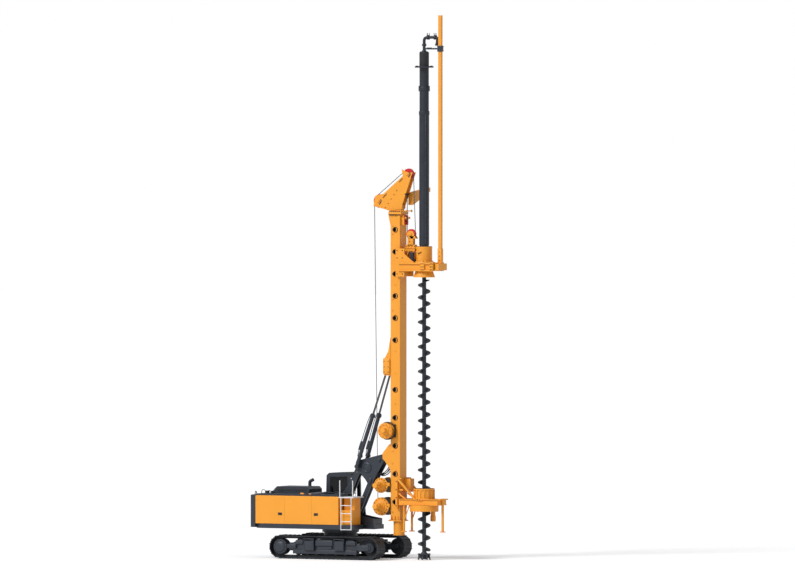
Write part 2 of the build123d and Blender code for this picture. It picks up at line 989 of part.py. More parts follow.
def winch_frame(x, z, half, low, high, motor_side):
    """Side plates that carry a drum on the back of the mast, with its motor outside one of them."""
    for y in (-half - 40, half + 40):
        plate(
            [
                (mast_rear, z + low),
                (mast_rear, z + high),
                (x + 60, z + 160),
                (x - 110, z + 90),
                (x - 110, z - 90),
                (x + 60, z - 160),
            ],
            y,
            30,
        )
    block((mast_rear - 30, mast_rear), (-half - 55, half + 55), (z + low, z + high))
    disc(x, z, 60 + pin_clearance, -half - 80, half + 80, mode=Mode.SUBTRACT)


main_half = 230
second_half = 230
winch("main_winch", main_winch_x, main_winch_z, 270, 335, main_half, 60)
winch("second_winch", second_winch_x + 50, second_winch_z, 170, 225, second_half, 60)
with BuildPart() as winch_mounts:
    winch_frame(main_winch_x, main_winch_z, main_half, -300, 300, -1)
    winch_frame(second_winch_x + 50, second_winch_z, second_half, -250, 250, -1)
    plate([(1900, 4520), (2440, 4520), (2440, 5000), (1900, 5000)], -mast_half_width - 25, 50)
    disc(side_winch_x, side_winch_z, 55, -540, -mast_half_width - 40)
save(winch_mounts.part, "winch_mounts")
with BuildPart() as winch_motors:
    for x, z, half in (
        (main_winch_x, main_winch_z, main_half),
        (second_winch_x + 50, second_winch_z, second_half),
    ):
        outer = half + 55
        disc(x, z, 130, -outer - 110, -outer)
        disc(x, z, 80, -outer - 260, -outer - 110)
save(winch_motors.part, "winch_motors")

with BuildPart() as side_winch_drum:
    disc(side_winch_x, side_winch_z, 190, -520, -300)
    for y in (-520, -316):
        disc(side_winch_x, side_winch_z, 300, y, y + 16)
    disc(side_winch_x, side_winch_z, 55 + pin_clearance, -600, -200, mode=Mode.SUBTRACT)
save(side_winch_drum.part, "side_winch_drum")
# ------------------------------------------------------------------ drilling head and its carriage
with BuildPart() as carriage:
    for side in (-1, 1):
        plate(
            [
                (2500, 10460),
                (2860, 10460),
                (2860, 10650),
                (4100, 10690),
                (4100, 10960),
                (3250, 10990),
                (2860, 11300),
                (2860, 11500),
                (2500, 11500),
            ],
            side * 350,
            40,
        )
        block((2500, box_front - slide_gap), tuple(sorted((side * 240, side * 350))), (10480, 11480))
    block((mast_front + slide_gap, 2700), (-350, 350), (10480, 11480))
    block((2700, 3150), (-90, 90), (11400, 11520))
save(carriage.part, "carriage")

with BuildPart() as head_gearbox:
    drum(auger_x, 0, 265, 10690, 10960)
    with BuildSketch(plan_plane(10960)):
        with Locations((auger_x, 0)):
            Circle(295)
    extrude(amount=head_top - 10960)
    block((3230, 3766), (-330, 330), (10800, 10840))
    drum(auger_x, 0, tube_radius + slide_gap, head_bottom - 20, head_top + 20, mode=Mode.SUBTRACT)
save(head_gearbox.part, "head_gearbox")

with BuildPart() as guide_tube:
    block(
        (guide_x - guide_side / 2, guide_x + guide_side / 2),
        (-guide_side / 2, guide_side / 2),
        (guide_bottom, guide_top),
    )
    block((4080, 4270), (-330, 330), (10700, 10950))
save(guide_tube.part, "guide_tube")

with BuildPart() as drill_tube:
    drum(auger_x, 0, tube_radius, head_bottom, tube_top)
    drum(auger_x, 0, 345, tube_top, tube_top + 60)
    drum(auger_x, 0, tube_radius - 26, head_bottom + 60, tube_top + 20, mode=Mode.SUBTRACT)
save(drill_tube.part, "drill_tube")

flight_turns = 21
flight_bottom = tip_height + 300
with BuildPart() as auger:
    drum(auger_x, 0, shaft_radius, tip_height + 200, head_bottom)
    flight_middle = (shaft_radius + flight_radius) / 2
    with BuildLine(Plane(origin=(auger_x, 0, flight_bottom))) as flight_path:
        Helix(flight_pitch, flight_pitch * flight_turns, flight_middle)
    start = flight_path.line @ 0
    with BuildSketch(Plane(origin=start, x_dir=(1, 0, 0), z_dir=flight_path.line % 0)):
        Rectangle(flight_radius - shaft_radius + 12, flight_thickness)
    sweep(path=flight_path.line, is_frenet=True)
save(auger.part, "auger")

with BuildPart() as swivel:
    drum(auger_x, 0, 178, tube_top + 60 + slide_gap, tube_top + 560)
save(swivel.part, "swivel")

with BuildPart() as hoist_block:
    for y in (-70, 70):
        plate([(2780, 11520), (3150, 11520), (3100, 12150), (2965, 12240), (2830, 12150)], y, 24)
    disc(head_sheave[0], head_sheave[1], 35, -82, 82)
save(hoist_block.part, "hoist_block")
with BuildPart() as hoist_sheave:
    sheave(*head_sheave, 0, 35 + pin_clearance)
save(hoist_sheave.part, "hoist_sheave")

# ------------------------------------------------------------------ auger cleaner and its stand
with BuildPart() as cleaner_stand:
    for side in (-1, 1):
        block(
            (mast_front, guide_x + 60),
            tuple(sorted((side * 290, side * 350))),
            (cleaner_z + cleaner_height + slide_gap, 2240),
        )
        bar((stand_leg_x, side * stand_leg_spread, 2060), (stand_leg_x, side * stand_leg_spread, 1060), 42)
        drum(stand_leg_x, side * stand_leg_spread, 110, 1030, 1060)
    block((guide_x - 20, guide_x + 60), (-350, 350), (cleaner_z + cleaner_height + slide_gap, 2240))
    block((mast_front, mast_front + 60), (-350, 350), (cleaner_z + cleaner_height + slide_gap, 2240))
    bar((front_leg_x, 0, 2240), (front_leg_x, 0, 1060), 48)
    drum(front_leg_x, 0, 108, 1030, 1060)
save(cleaner_stand.part, "cleaner_stand")

with BuildPart() as cleaner_ring:
    drum(auger_x, 0, cleaner_radius, cleaner_z, cleaner_z + cleaner_height)
    drum(auger_x, 0, 270, cleaner_z - 10, cleaner_z + cleaner_height + 10, mode=Mode.SUBTRACT)
save(cleaner_ring.part, "cleaner_ring")

with BuildPart() as cleaner_housing:
    drum(auger_x, 0, 365, 2240, 2640)
    drum(auger_x, 0, 300, 1900, 2700, mode=Mode.SUBTRACT)
save(cleaner_housing.part, "cleaner_housing")

# lifting cylinder of the boom
lift_foot_at = (lift_foot[0], 0, lift_foot[1])
lift_eye_at = (lift_eye[0], 0, lift_eye[1])
cylinder("lift", lift_foot_at, lift_eye_at, 1480, 62, 36, 84, link_y + link_thickness / 2)
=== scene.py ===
"""Looks of a crawler-mounted rotary piling rig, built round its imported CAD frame.

Lengths are metres. X points forward to the mast, Y to the cab's side and Z up,
and the origin is the point of the ground under the slewing axis.
"""
import math
from contextlib import contextmanager

import bmesh
import bpy
from mathutils import Matrix, Vector


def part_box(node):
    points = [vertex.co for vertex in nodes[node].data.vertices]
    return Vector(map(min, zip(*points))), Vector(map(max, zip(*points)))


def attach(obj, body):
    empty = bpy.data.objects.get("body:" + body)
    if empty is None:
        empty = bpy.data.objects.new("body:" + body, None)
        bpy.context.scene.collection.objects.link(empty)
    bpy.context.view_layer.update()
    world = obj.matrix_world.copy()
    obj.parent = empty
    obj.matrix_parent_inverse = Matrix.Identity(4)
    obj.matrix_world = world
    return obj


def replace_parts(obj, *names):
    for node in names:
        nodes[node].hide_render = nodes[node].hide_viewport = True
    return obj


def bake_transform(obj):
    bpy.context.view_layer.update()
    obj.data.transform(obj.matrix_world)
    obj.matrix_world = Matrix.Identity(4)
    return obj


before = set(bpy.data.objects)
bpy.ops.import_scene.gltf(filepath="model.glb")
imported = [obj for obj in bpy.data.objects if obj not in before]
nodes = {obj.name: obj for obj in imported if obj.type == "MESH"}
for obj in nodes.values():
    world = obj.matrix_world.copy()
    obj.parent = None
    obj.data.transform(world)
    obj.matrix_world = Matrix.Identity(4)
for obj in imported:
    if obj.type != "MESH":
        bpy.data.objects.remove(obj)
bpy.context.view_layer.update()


def put(name, data):
    """A new object in the scene that shows the data."""
    holder = bpy.data.objects.new(name, data)
    bpy.context.scene.collection.objects.link(holder)
    return holder


# -------- shader nodes
def feed(node, values):
    """Gives each named input a plain value, or a link from another node's first output or chosen socket."""
    for key, value in values.items():
        if isinstance(value, bpy.types.Node):
            value = value.outputs[0]
        if isinstance(value, bpy.types.NodeSocket):
            node.id_data.links.new(value, node.inputs[key])
        else:
            node.inputs[key].default_value = value


def add(tree, kind, values=None, **settings):
    """A new shader node with its settings and its fed inputs."""
    node = tree.nodes.new("ShaderNode" + kind)
    for key, value in settings.items():
        setattr(node, key, value)
    feed(node, values or {})
    return node


def new_material(name):
    """A material with its node tree and its shader."""
    material = bpy.data.materials.new(name)
    material.use_nodes = True
    return material, material.node_tree, material.node_tree.nodes["Principled BSDF"]


# -------- camera, floor and lights
VIEW_TURN = math.radians(28)
VIEW_DISTANCE = 430
VIEW_HEIGHT = 18
VIEW_ASIDE = 2.104
PICTURE_WIDTH = 795
PICTURE_DROP = 213.7
PICTURE_SCALE = 27
FILM_WIDTH = 36


def place_camera():
    """A long lens far away, in front of the machine's right-hand side."""
    across = Vector((math.cos(VIEW_TURN), math.sin(VIEW_TURN), 0))
    towards = Vector((math.sin(VIEW_TURN), -math.cos(VIEW_TURN), 0))
    reach = PICTURE_SCALE * VIEW_DISTANCE
    drop = math.atan(PICTURE_DROP / reach)
    data = bpy.data.cameras.new("camera")
    data.sensor_width = FILM_WIDTH
    data.lens = reach * FILM_WIDTH / PICTURE_WIDTH
    data.clip_start = 1
    data.clip_end = 2000
    camera = put("camera", data)
    camera.location = across * VIEW_ASIDE + towards * VIEW_DISTANCE + Vector((0, 0, VIEW_HEIGHT))
    look = -towards * math.cos(drop) - Vector((0, 0, math.sin(drop)))
    camera.rotation_euler = look.to_track_quat("-Z", "Y").to_euler()
    bpy.context.scene.camera = camera


def lay_floor():
    """A plain pale floor, as bright to the camera as the background."""
    bpy.ops.object.select_all(action="DESELECT")
    bpy.ops.mesh.primitive_plane_add(size=900, location=(0, 0, -0.002))
    floor = bpy.context.object
    floor.name = "studio_floor"
    pale, tree, shader = new_material("studio_floor")
    feed(shader, {"Base Color": (0.93, 0.93, 0.94, 1), "Roughness": 0.9, "Specular IOR Level": 0.1})
    rays = add(tree, "LightPath")
    lift = add(tree, "Math", {0: rays.outputs["Is Camera Ray"], 1: 0.14}, operation="MULTIPLY")
    glow = add(tree, "Emission", {"Strength": lift})
    both = add(tree, "AddShader", {0: shader, 1: glow})
    feed(tree.nodes["Material Output"], {"Surface": both})
    floor.data.materials.append(pale)


def light_studio():
    """An even sky that looks white, one soft key from the right-hand side and a weak fill."""
    world = bpy.data.worlds.new("studio")
    bpy.context.scene.world = world
    world.use_nodes = True
    tree = world.node_tree
    tree.nodes.clear()
    rays = add(tree, "LightPath")
    seen = add(
        tree, "Math", {0: rays.outputs["Is Camera Ray"], 1: rays.outputs["Is Transmission Ray"]},
        operation="MAXIMUM",
    )
    soft = add(tree, "Background", {"Color": (1, 1, 1, 1), "Strength": 0.46})
    white = add(tree, "Background", {"Color": (1, 1, 1, 1), "Strength": 1})
    mix = add(tree, "MixShader", {0: seen, 1: soft, 2: white})
    add(tree, "OutputWorld", {"Surface": mix})
    for name, direction, strength, spread in (
        ("key_light", (0.35, 0.75, -0.72), 2.5, 20),
        ("fill_light", (-0.8, 0.5, -0.5), 0.12, 40),
    ):
        lamp = bpy.data.lights.new(name, "SUN")
        lamp.energy = strength
        lamp.angle = math.radians(spread)
        put(name, lamp).rotation_euler = Vector(direction).to_track_quat("-Z", "Y").to_euler()
    bpy.context.scene.view_settings.view_transform = "Standard"


# -------- finishes
FLOAT = "NodeSocketFloat"
COLOUR = "NodeSocketColor"
VECTOR = "NodeSocketVector"


def new_group(name, inputs, outputs):
    """A shader node group with named sockets: its tree, what it is given and its output node."""
    tree = bpy.data.node_groups.new(name, "ShaderNodeTree")
    for label, kind, value in inputs:
        tree.interface.new_socket(label, in_out="INPUT", socket_type=kind).default_value = value
    for label, kind in outputs:
        tree.interface.new_socket(label, in_out="OUTPUT", socket_type=kind)
    return tree, tree.nodes.new("NodeGroupInput").outputs, tree.nodes.new("NodeGroupOutput")


def patchy(tree, given, mask, detail, low, high):
    """The mask broken up by soft patches and scaled by the group's amount."""
    place = add(tree, "TexCoord")
    patches = add(tree, "TexNoise", {
        "Vector": place.outputs["Object"], "Scale": given["Patch Scale"], "Detail": detail[0], "Roughness": detail[1],
    })
    broken = add(tree, "MapRange", {"Value": patches.outputs["Fac"], "From Min": low, "From Max": high})
    both = add(tree, "Math", {0: mask, 1: broken}, operation="MULTIPLY")
    amount = add(tree, "Math", {0: both, 1: given["Amount"]}, operation="MULTIPLY", use_clamp=True)
    return amount


def edge_wear_group():
    """A mask along the sharp edges, broken up where the finish has held."""
    tree, given, result = new_group(
        "edge wear",
        [("Radius", FLOAT, 0.012), ("Amount", FLOAT, 0.5), ("Patch Scale", FLOAT, 6.0)],
        [("Mask", FLOAT)],
    )
    rounded = add(tree, "Bevel", {"Radius": given["Radius"]}, samples=4)
    surface = add(tree, "NewGeometry")
    facing = add(
        tree, "VectorMath", {0: rounded, 1: surface.outputs["True Normal"]},
        operation="DOT_PRODUCT",
    )
    edge = add(tree, "MapRange", {"Value": facing.outputs["Value"], "From Min": 0.995, "From Max": 0.86})
    feed(result, {"Mask": patchy(tree, given, edge, (4.0, 0.65), 0.42, 0.62)})
    return tree


def site_dust_group():
    """A mask of dust: thicker on upward faces and near the ground, in soft patches."""
    tree, given, result = new_group(
        "site dust",
        [("Amount", FLOAT, 0.3), ("Low", FLOAT, 0.2), ("High", FLOAT, 1.6), ("Patch Scale", FLOAT, 2.5)],
        [("Mask", FLOAT)],
    )
    surface = add(tree, "NewGeometry")
    facing = add(tree, "SeparateXYZ", {0: surface.outputs["Normal"]})
    upward = add(
        tree, "MapRange",
        {"Value": facing.outputs["Z"], "From Min": 0.2, "From Max": 0.95, "To Max": 0.55},
    )
    place = add(tree, "TexCoord")
    height = add(tree, "SeparateXYZ", {0: place.outputs["Object"]})
    splash = add(tree, "MapRange", {
        "Value": height.outputs["Z"], "From Min": given["Low"], "From Max": given["High"], "To Min": 0.8,
        "To Max": 0.0,
    })
    either = add(tree, "Math", {0: upward, 1: splash}, operation="MAXIMUM")
    feed(result, {"Mask": patchy(tree, given, either, (6.0, 0.6), 0.35, 0.7)})
    return tree


def surface_grain_group():
    """Fine relief of a sprayed or cast surface, with a faint change of tone and gloss."""
    tree, given, result = new_group(
        "surface grain",
        [
            ("Colour", COLOUR, (0.5, 0.5, 0.5, 1)),
            ("Grain Scale", FLOAT, 160.0),
            ("Relief", FLOAT, 0.1),
            ("Tone", FLOAT, 0.06),
            ("Gloss Low", FLOAT, 0.35),
            ("Gloss High", FLOAT, 0.5),
        ],
        [("Colour", COLOUR), ("Roughness", FLOAT), ("Normal", VECTOR)],
    )
    where = add(tree, "TexCoord").outputs["Object"]
    grain = add(
        tree, "TexNoise", {"Vector": where, "Scale": given["Grain Scale"], "Detail": 3.0, "Roughness": 0.55}
    )
    relief = add(tree, "Bump", {"Distance": 0.002, "Strength": given["Relief"], "Height": grain.outputs["Fac"]})
    clouds = add(tree, "TexNoise", {"Vector": where, "Scale": 1.7, "Detail": 5.0, "Roughness": 0.6})
    less = add(tree, "Math", {0: 1.0, 1: given["Tone"]}, operation="SUBTRACT")
    spread = {"Value": clouds.outputs["Fac"], "From Min": 0.3, "From Max": 0.7}
    tone = add(tree, "MapRange", {**spread, "To Min": less, "To Max": 1.0})
    shade = add(tree, "VectorMath", {0: given["Colour"], "Scale": tone}, operation="SCALE")
    gloss = add(tree, "MapRange", {**spread, "To Min": given["Gloss Low"], "To Max": given["Gloss High"]})
    feed(result, {"Colour": shade, "Roughness": gloss, "Normal": relief})
    return tree


EDGE_WEAR = edge_wear_group()
SITE_DUST = site_dust_group()
SURFACE_GRAIN = surface_grain_group()
GRAIN_INPUTS = ("Grain Scale", "Relief", "Tone", "Gloss Low", "Gloss High")
EARTH = (0.33, 0.27, 0.21, 1)
COAT_ROUGHNESS = 0.25


def worn_finish(name, colour, grain, wear, bare, dust, metallic=0.0, coat=0.0):
    """Paint or metal with grain, with its edges worn to `bare`, and with dust on it."""
    material, tree, shader = new_material(name)
    face = add(tree, "Group", dict(zip(GRAIN_INPUTS, grain), Colour=(*colour, 1)), node_tree=SURFACE_GRAIN)
    worn = add(tree, "Group", dict(zip(("Radius", "Amount", "Patch Scale"), wear)), node_tree=EDGE_WEAR)
    dusty = add(tree, "Group", dict(zip(("Amount", "Low", "High"), dust)), node_tree=SITE_DUST)
    edged = add(
        tree, "Mix", {"Factor": worn.outputs["Mask"], "A": face.outputs["Colour"], "B": (*bare, 1)},
        data_type="RGBA",
    )
    dusted = add(
        tree, "Mix", {"Factor": dusty.outputs["Mask"], "A": edged.outputs["Result"], "B": EARTH},
        data_type="RGBA",
    )
    dull = add(tree, "Math", {0: face.outputs["Roughness"], 1: dusty.outputs["Mask"]}, operation="MAXIMUM")
    feed(shader, {
        "Metallic": metallic, "Coat Weight": coat, "Coat Roughness": COAT_ROUGHNESS,
        "Base Color": dusted.outputs["Result"], "Roughness": dull, "Normal": face.outputs["Normal"],
    })
    return material


# Each row: colour; grain scale, relief, tone, gloss low and high; wear radius, amount and patch scale;
# bare colour; dust amount, low and high; metallic; coat.
WORN_FINISHES = {
    "yellow_paint": (
        (0.8, 0.315, 0.019), (170, 0.05, 0.05, 0.4, 0.5), (0.01, 0.35, 5), (0.88, 0.45, 0.08), (0.06, 0.1, 1.6),
    ),
    "dark_paint": (
        (0.019, 0.026, 0.04), (170, 0.06, 0.12, 0.36, 0.48), (0.01, 0.4, 5), (0.12, 0.13, 0.15), (0.03, 0.1, 1.3),
        0.0, 0.1,
    ),
    "black_paint": (
        (0.01, 0.011, 0.013), (170, 0.06, 0.12, 0.42, 0.55), (0.01, 0.4, 5), (0.1, 0.1, 0.11), (0.12, 0.1, 1.3),
    ),
    "light_paint": (
        (0.66, 0.67, 0.7), (170, 0.05, 0.06, 0.36, 0.48), (0.008, 0.5, 7), (0.3, 0.3, 0.31), (0.15, 0.1, 1.6),
        0.0, 0.1,
    ),
    "red_paint": (
        (0.62, 0.01, 0.02), (170, 0.05, 0.06, 0.34, 0.46), (0.008, 0.4, 7), (0.85, 0.25, 0.2), (0.1, 0.1, 1.0),
        0.0, 0.15,
    ),
    "track_steel": (
        (0.013, 0.017, 0.024), (90, 0.35, 0.25, 0.42, 0.62), (0.012, 0.6, 9), (0.2, 0.2, 0.22), (0.05, 0.0, 1.1),
        0.2,
    ),
    "auger_steel": (
        (0.015, 0.021, 0.033), (110, 0.25, 0.2, 0.38, 0.55), (0.012, 0.7, 9), (0.14, 0.15, 0.17), (0.06, 0.0, 2.2),
        0.1,
    ),
    "rod_chrome": (
        (0.13, 0.135, 0.15), (400, 0.02, 0.05, 0.16, 0.24), (0.004, 0.2, 9), (0.4, 0.4, 0.42), (0.05, 0.1, 1.3), 0.9,
    ),
    "seat_fabric": (
        (0.012, 0.012, 0.014), (900, 0.7, 0.2, 0.8, 0.92), (0.006, 0.3, 9), (0.03, 0.03, 0.03), (0.1, 0.1, 1.0),
    ),
    "engine_iron": (
        (0.08, 0.08, 0.085), (80, 0.4, 0.2, 0.5, 0.65), (0.01, 0.6, 7), (0.36, 0.36, 0.38), (0.2, 0.1, 1.6), 0.4,
    ),
    "wire_rope": (
        (0.16, 0.165, 0.17), (300, 0.2, 0.2, 0.4, 0.55), (0.002, 0.3, 9), (0.3, 0.3, 0.3), (0.1, 0.1, 1.3), 0.6,
    ),
}


def tinted_glass():
    """The cab's dark glass."""
    material, tree, shader = new_material("cab_glass")
    face = add(
        tree, "Group",
        dict(zip(GRAIN_INPUTS, (30, 0.01, 0.1, 0.03, 0.08)), Colour=(0.012, 0.014, 0.017, 1)),
        node_tree=SURFACE_GRAIN,
    )
    feed(shader, {
        "Transmission Weight": 0.6, "IOR": 1.3, "Base Color": face.outputs["Colour"],
        "Roughness": face.outputs["Roughness"],
    })
    return material


FINISHES = {name: worn_finish(name, *row) for name, row in WORN_FINISHES.items()}
FINISHES["cab_glass"] = tinted_glass()

NODE_FINISHES = {
    "yellow_paint": (
        "engine_house side_panels side_box door_right_rear door_right_front door_left_rear mast mast_brackets "
        "mast_foot cathead side_jib winch_motors side_winch_drum cleaner_stand cleaner_housing cleaner_ring "
        "carriage head_gearbox guide_tube hoist_block"
    ),
    "dark_paint": (
        "centre_frame slew_bearing track_frame_right track_frame_left revolving_frame boom_foot counterweight deck "
        "hood cab cab_door upper_link lower_link link_frame lift_barrel luffing_right_barrel luffing_left_barrel "
        "exhaust"
    ),
    "black_paint": "winch_mounts swivel",
    "light_paint": "steps landing",
    "red_paint": "cathead_rear_sheave cathead_top_sheave hoist_sheave",
    "track_steel": "track_right track_left track_wheels_right track_wheels_left",
    "auger_steel": "auger drill_tube main_winch_drum second_winch_drum",
    "rod_chrome": "lift_rod luffing_right_rod luffing_left_rod",
    "cab_glass": "cab_glass",
    "seat_fabric": "seat",
    "engine_iron": "engine",
}


def paint_nodes():
    """Gives each CAD node its finish."""
    for finish, names in NODE_FINISHES.items():
        for name in names.split():
            slots = nodes[name].data.materials
            slots.clear()
            slots.append(FINISHES[finish])


# -------- modelling
TURNS = {"Z": (0, 0, 0), "-Y": (math.pi / 2, 0, 0), "Y": (-math.pi / 2, 0, 0), "X": (0, math.pi / 2, 0)}
SIDES = ((-1, "-Y"), (1, "Y"))
SIDE_NAMES = {-1: "right", 1: "left"}


@contextmanager
def editing(kind="VERT", action="SELECT"):
    """Edit mode on the active piece with one kind of element in use, all or none of it selected."""
    bpy.ops.object.mode_set(mode="EDIT")
    bpy.ops.mesh.select_mode(type=kind)
    bpy.ops.mesh.select_all(action=action)
    yield
    bpy.ops.object.mode_set(mode="OBJECT")


def face_outward():
    """Selects the whole mesh in edit mode and turns its faces outward."""
    bpy.ops.mesh.select_all(action="SELECT")
    bpy.ops.mesh.normals_make_consistent(inside=False)


def close_ends():
    """Fills the open ends of a section that was drawn out."""
    with editing("EDGE", "DESELECT"):
        bpy.ops.mesh.select_non_manifold()
        bpy.ops.mesh.fill()
        face_outward()


def shape_by(piece, kind, **settings):
    """Applies a modifier of that kind with its settings to the active piece."""
    tool = piece.modifiers.new("shape", kind)
    for key, value in settings.items():
        setattr(tool, key, value)
    bpy.ops.object.modifier_apply(modifier=tool.name)


def circle(sides, radius, fill="NOTHING"):
    """A circle on the ground plane, alone in the selection."""
    bpy.ops.object.select_all(action="DESELECT")
    bpy.ops.mesh.primitive_circle_add(vertices=sides, radius=radius, fill_type=fill)
    return bpy.context.object


def mm(text):
    """The (radius, height) steps of an outline that is written in millimetres."""
    return [tuple(int(number) / 1000 for number in step.split()) for step in text.split(",")]


def turned(outline, place, axis="Z", sides=32, ring=False):
    """A turned shape: a circle drawn out and in through the (radius, height) steps; a ring closes on itself."""
    radius, height = outline[0]
    piece = circle(sides, radius, "NOTHING" if ring else "NGON")
    with editing():
        for wide, high in outline[1:] + (outline[:1] if ring else []):
            bpy.ops.mesh.extrude_region_move(TRANSFORM_OT_translate={"value": (0, 0, high - height)})
            bpy.ops.transform.resize(value=(wide / radius, wide / radius, 1))
            radius, height = wide, high
        bpy.ops.mesh.select_all(action="SELECT")
        bpy.ops.mesh.remove_doubles(threshold=0.00005)
        bpy.ops.transform.translate(value=(0, 0, outline[0][1]))
        bpy.ops.mesh.normals_make_consistent(inside=False)
    piece.rotation_euler = TURNS[axis]
    piece.location = place
    return piece


def cube(low, high, share=1.0):
    """A cube stretched between two corners, or over a share of the way between them."""
    bpy.ops.object.select_all(action="DESELECT")
    bpy.ops.mesh.primitive_cube_add(size=1, location=(low + high) / 2)
    piece = bpy.context.object
    piece.scale = (high - low) * share
    bpy.ops.object.transform_apply(location=False, rotation=False, scale=True)
    return piece


def corners(first, second):
    """The lowest and the highest corner of the box between two opposite corners."""
    pairs = list(zip(first, second))
    return Vector([min(pair) for pair in pairs]), Vector([max(pair) for pair in pairs])


def block(first, second, bevel=0.006, lean=(0, 0, 0)):
    """A block between two corners with rounded edges; its top is shifted by lean."""
    low, high = corners(first, second)
    piece = cube(low, high)
    with editing("FACE"):
        if any(lean):
            choose_faces(lambda normal: normal.z > 0.9)
            bpy.ops.transform.translate(value=lean)
            bpy.ops.mesh.select_all(action="SELECT")
        bpy.ops.mesh.bevel(offset=min(bevel, 0.3 * min(high - low)), segments=2, affect="EDGES")
    return piece


def choose_faces(test):
    """Selects, in edit mode, the faces whose normal passes the test."""
    mesh = bmesh.from_edit_mesh(bpy.context.object.data)
    for face in mesh.faces:
        face.select_set(test(face.normal))
    bmesh.update_edit_mesh(bpy.context.object.data)


def sleeve(first, second, axis, wall):
    """A square tube open along the axis."""
    piece = cube(*corners(first, second))
    index = "XYZ".index(axis)
    with editing("FACE"):
        choose_faces(lambda normal: abs(normal[index]) > 0.9)
        bpy.ops.mesh.delete(type="ONLY_FACE")
    shape_by(piece, "SOLIDIFY", thickness=wall, offset=-1, use_even_offset=True)
    shape_by(piece, "BEVEL", width=wall / 5, segments=2)
    return piece


def cushion_shape(first, second):
    """A crowned cushion: a subdivided block, swelled and with its edges drawn in."""
    piece = cube(*corners(first, second), 0.94)
    with editing():
        bpy.ops.mesh.subdivide(number_cuts=3)
    shape_by(piece, "SUBSURF", levels=2, render_levels=2)
    return piece


def bar(start, end, width, depth, bevel=0.006):
    """A straight bar of width by depth from start to end."""
    start, end = Vector(start), Vector(end)
    length = (end - start).length
    piece = block((-width / 2, -depth / 2, 0), (width / 2, depth / 2, length), bevel)
    piece.rotation_euler = (end - start).to_track_quat("Z", "Y").to_euler()
    piece.location = (start + end) / 2
    return piece


def curve(points, kind, **settings):
    """A curve object through the points, and its spline."""
    line = bpy.data.curves.new("curve", "CURVE")
    line.dimensions = "3D"
    for key, value in settings.items():
        setattr(line, key, value)
    spline = line.splines.new(kind)
    spline.points.add(len(points) - 1)
    for point, place in zip(spline.points, points):
        point.co = (*place, 1)
    return put("curve", line), spline


def pipe(points, radius, order=3, sides=3):
    """A round bar or hose along smooth bends, its ends closed."""
    bpy.ops.object.select_all(action="DESELECT")
    piece, spline = curve(points, "NURBS", bevel_depth=radius, bevel_resolution=sides, use_fill_caps=True)
    spline.order_u = min(order, len(points))
    spline.use_endpoint_u = True
    spline.resolution_u = 6
    piece.select_set(True)
    bpy.context.view_layer.objects.active = piece
    bpy.ops.object.convert(target="MESH")
    return bpy.context.object


def copies(model, places):
    """Copies of the model, each with its own mesh, at the places."""
    made = []
    bpy.context.view_layer.update()
    for place in places:
        copy = model.copy()
        copy.data = model.data.copy()
        bpy.context.scene.collection.objects.link(copy)
        copy.matrix_world = Matrix.Translation(place) @ model.matrix_world
        made.append(copy)
    bpy.data.objects.remove(model)
    return made


def bolts(axis, size, places):
    """Hexagon-headed bolts with their washers, seen from outside."""
    outline = [(1.25, 0), (1.25, 0.18), (1.0, 0.18), (1.0, 0.75), (0.82, 0.9)]
    return copies(turned([(size * wide, size * high) for wide, high in outline], (0, 0, 0), axis, 6), places)


def side_bolts(size, reach, places):
    """Bolts at the (x, z) places on both sides of the mast's plane, at that reach from it."""
    return [head for side, axis in SIDES for head in bolts(axis, size, [(x, side * reach, z) for x, z in places])]


def round_places(middle, axis, radius, count, first=0.0):
    """Places on a circle round an axis."""
    middle = Vector(middle)
    places = []
    for n in range(count):
        angle = first + 2 * math.pi * n / count
        a, b = radius * math.cos(angle), radius * math.sin(angle)
        places.append(middle + (Vector((a, b, 0)) if axis == "Z" else Vector((a, 0, b))))
    return places


def keep(name, body, finish, shapes, angle=32):
    """Joins the shapes to one finished piece that rides on the body."""
    bpy.ops.object.select_all(action="DESELECT")
    for shape in shapes:
        shape.select_set(True)
    bpy.context.view_layer.objects.active = shapes[0]
    if len(shapes) > 1:
        bpy.ops.object.join()
    bpy.ops.object.transform_apply(location=True, rotation=True, scale=True)
    bpy.ops.object.shade_smooth_by_angle(angle=math.radians(angle))
    piece = bpy.context.object
    piece.name = name
    piece.data.name = name
    piece.data.materials.clear()
    piece.data.materials.append(FINISHES[finish])
    if body:
        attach(piece, body)
    return piece


def middle_of(node):
    low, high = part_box(node)
    return (Vector(low) + Vector(high)) / 2


def size_of(node):
    low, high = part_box(node)
    return Vector(high) - Vector(low)


MAST = "mast_assembly"
HEAD = "head_carriage"
STRING = "drill_string"
UPPER = "upper_structure"

AUGER_X = middle_of("auger").x
AUGER_FOOT = 0.33
FLIGHT_PITCH = 0.455
FLIGHT_TURNS = 21
GUIDE_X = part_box("guide_tube")[1][0] - 0.098
MAST_SIDE = 0.235
MAST_X = 2.4195
MAST_REAR = 2.218
MAST_FRONT = 2.621
HEAD_PLATE = 0.143
BLOCK_FOOT = 11.52
ARM_FOOT = 10.665


# -------- ropes
ROPE_RADIUS = 0.015
ROPE_LAY = 0.2
COIL_RADIUS = 0.0118


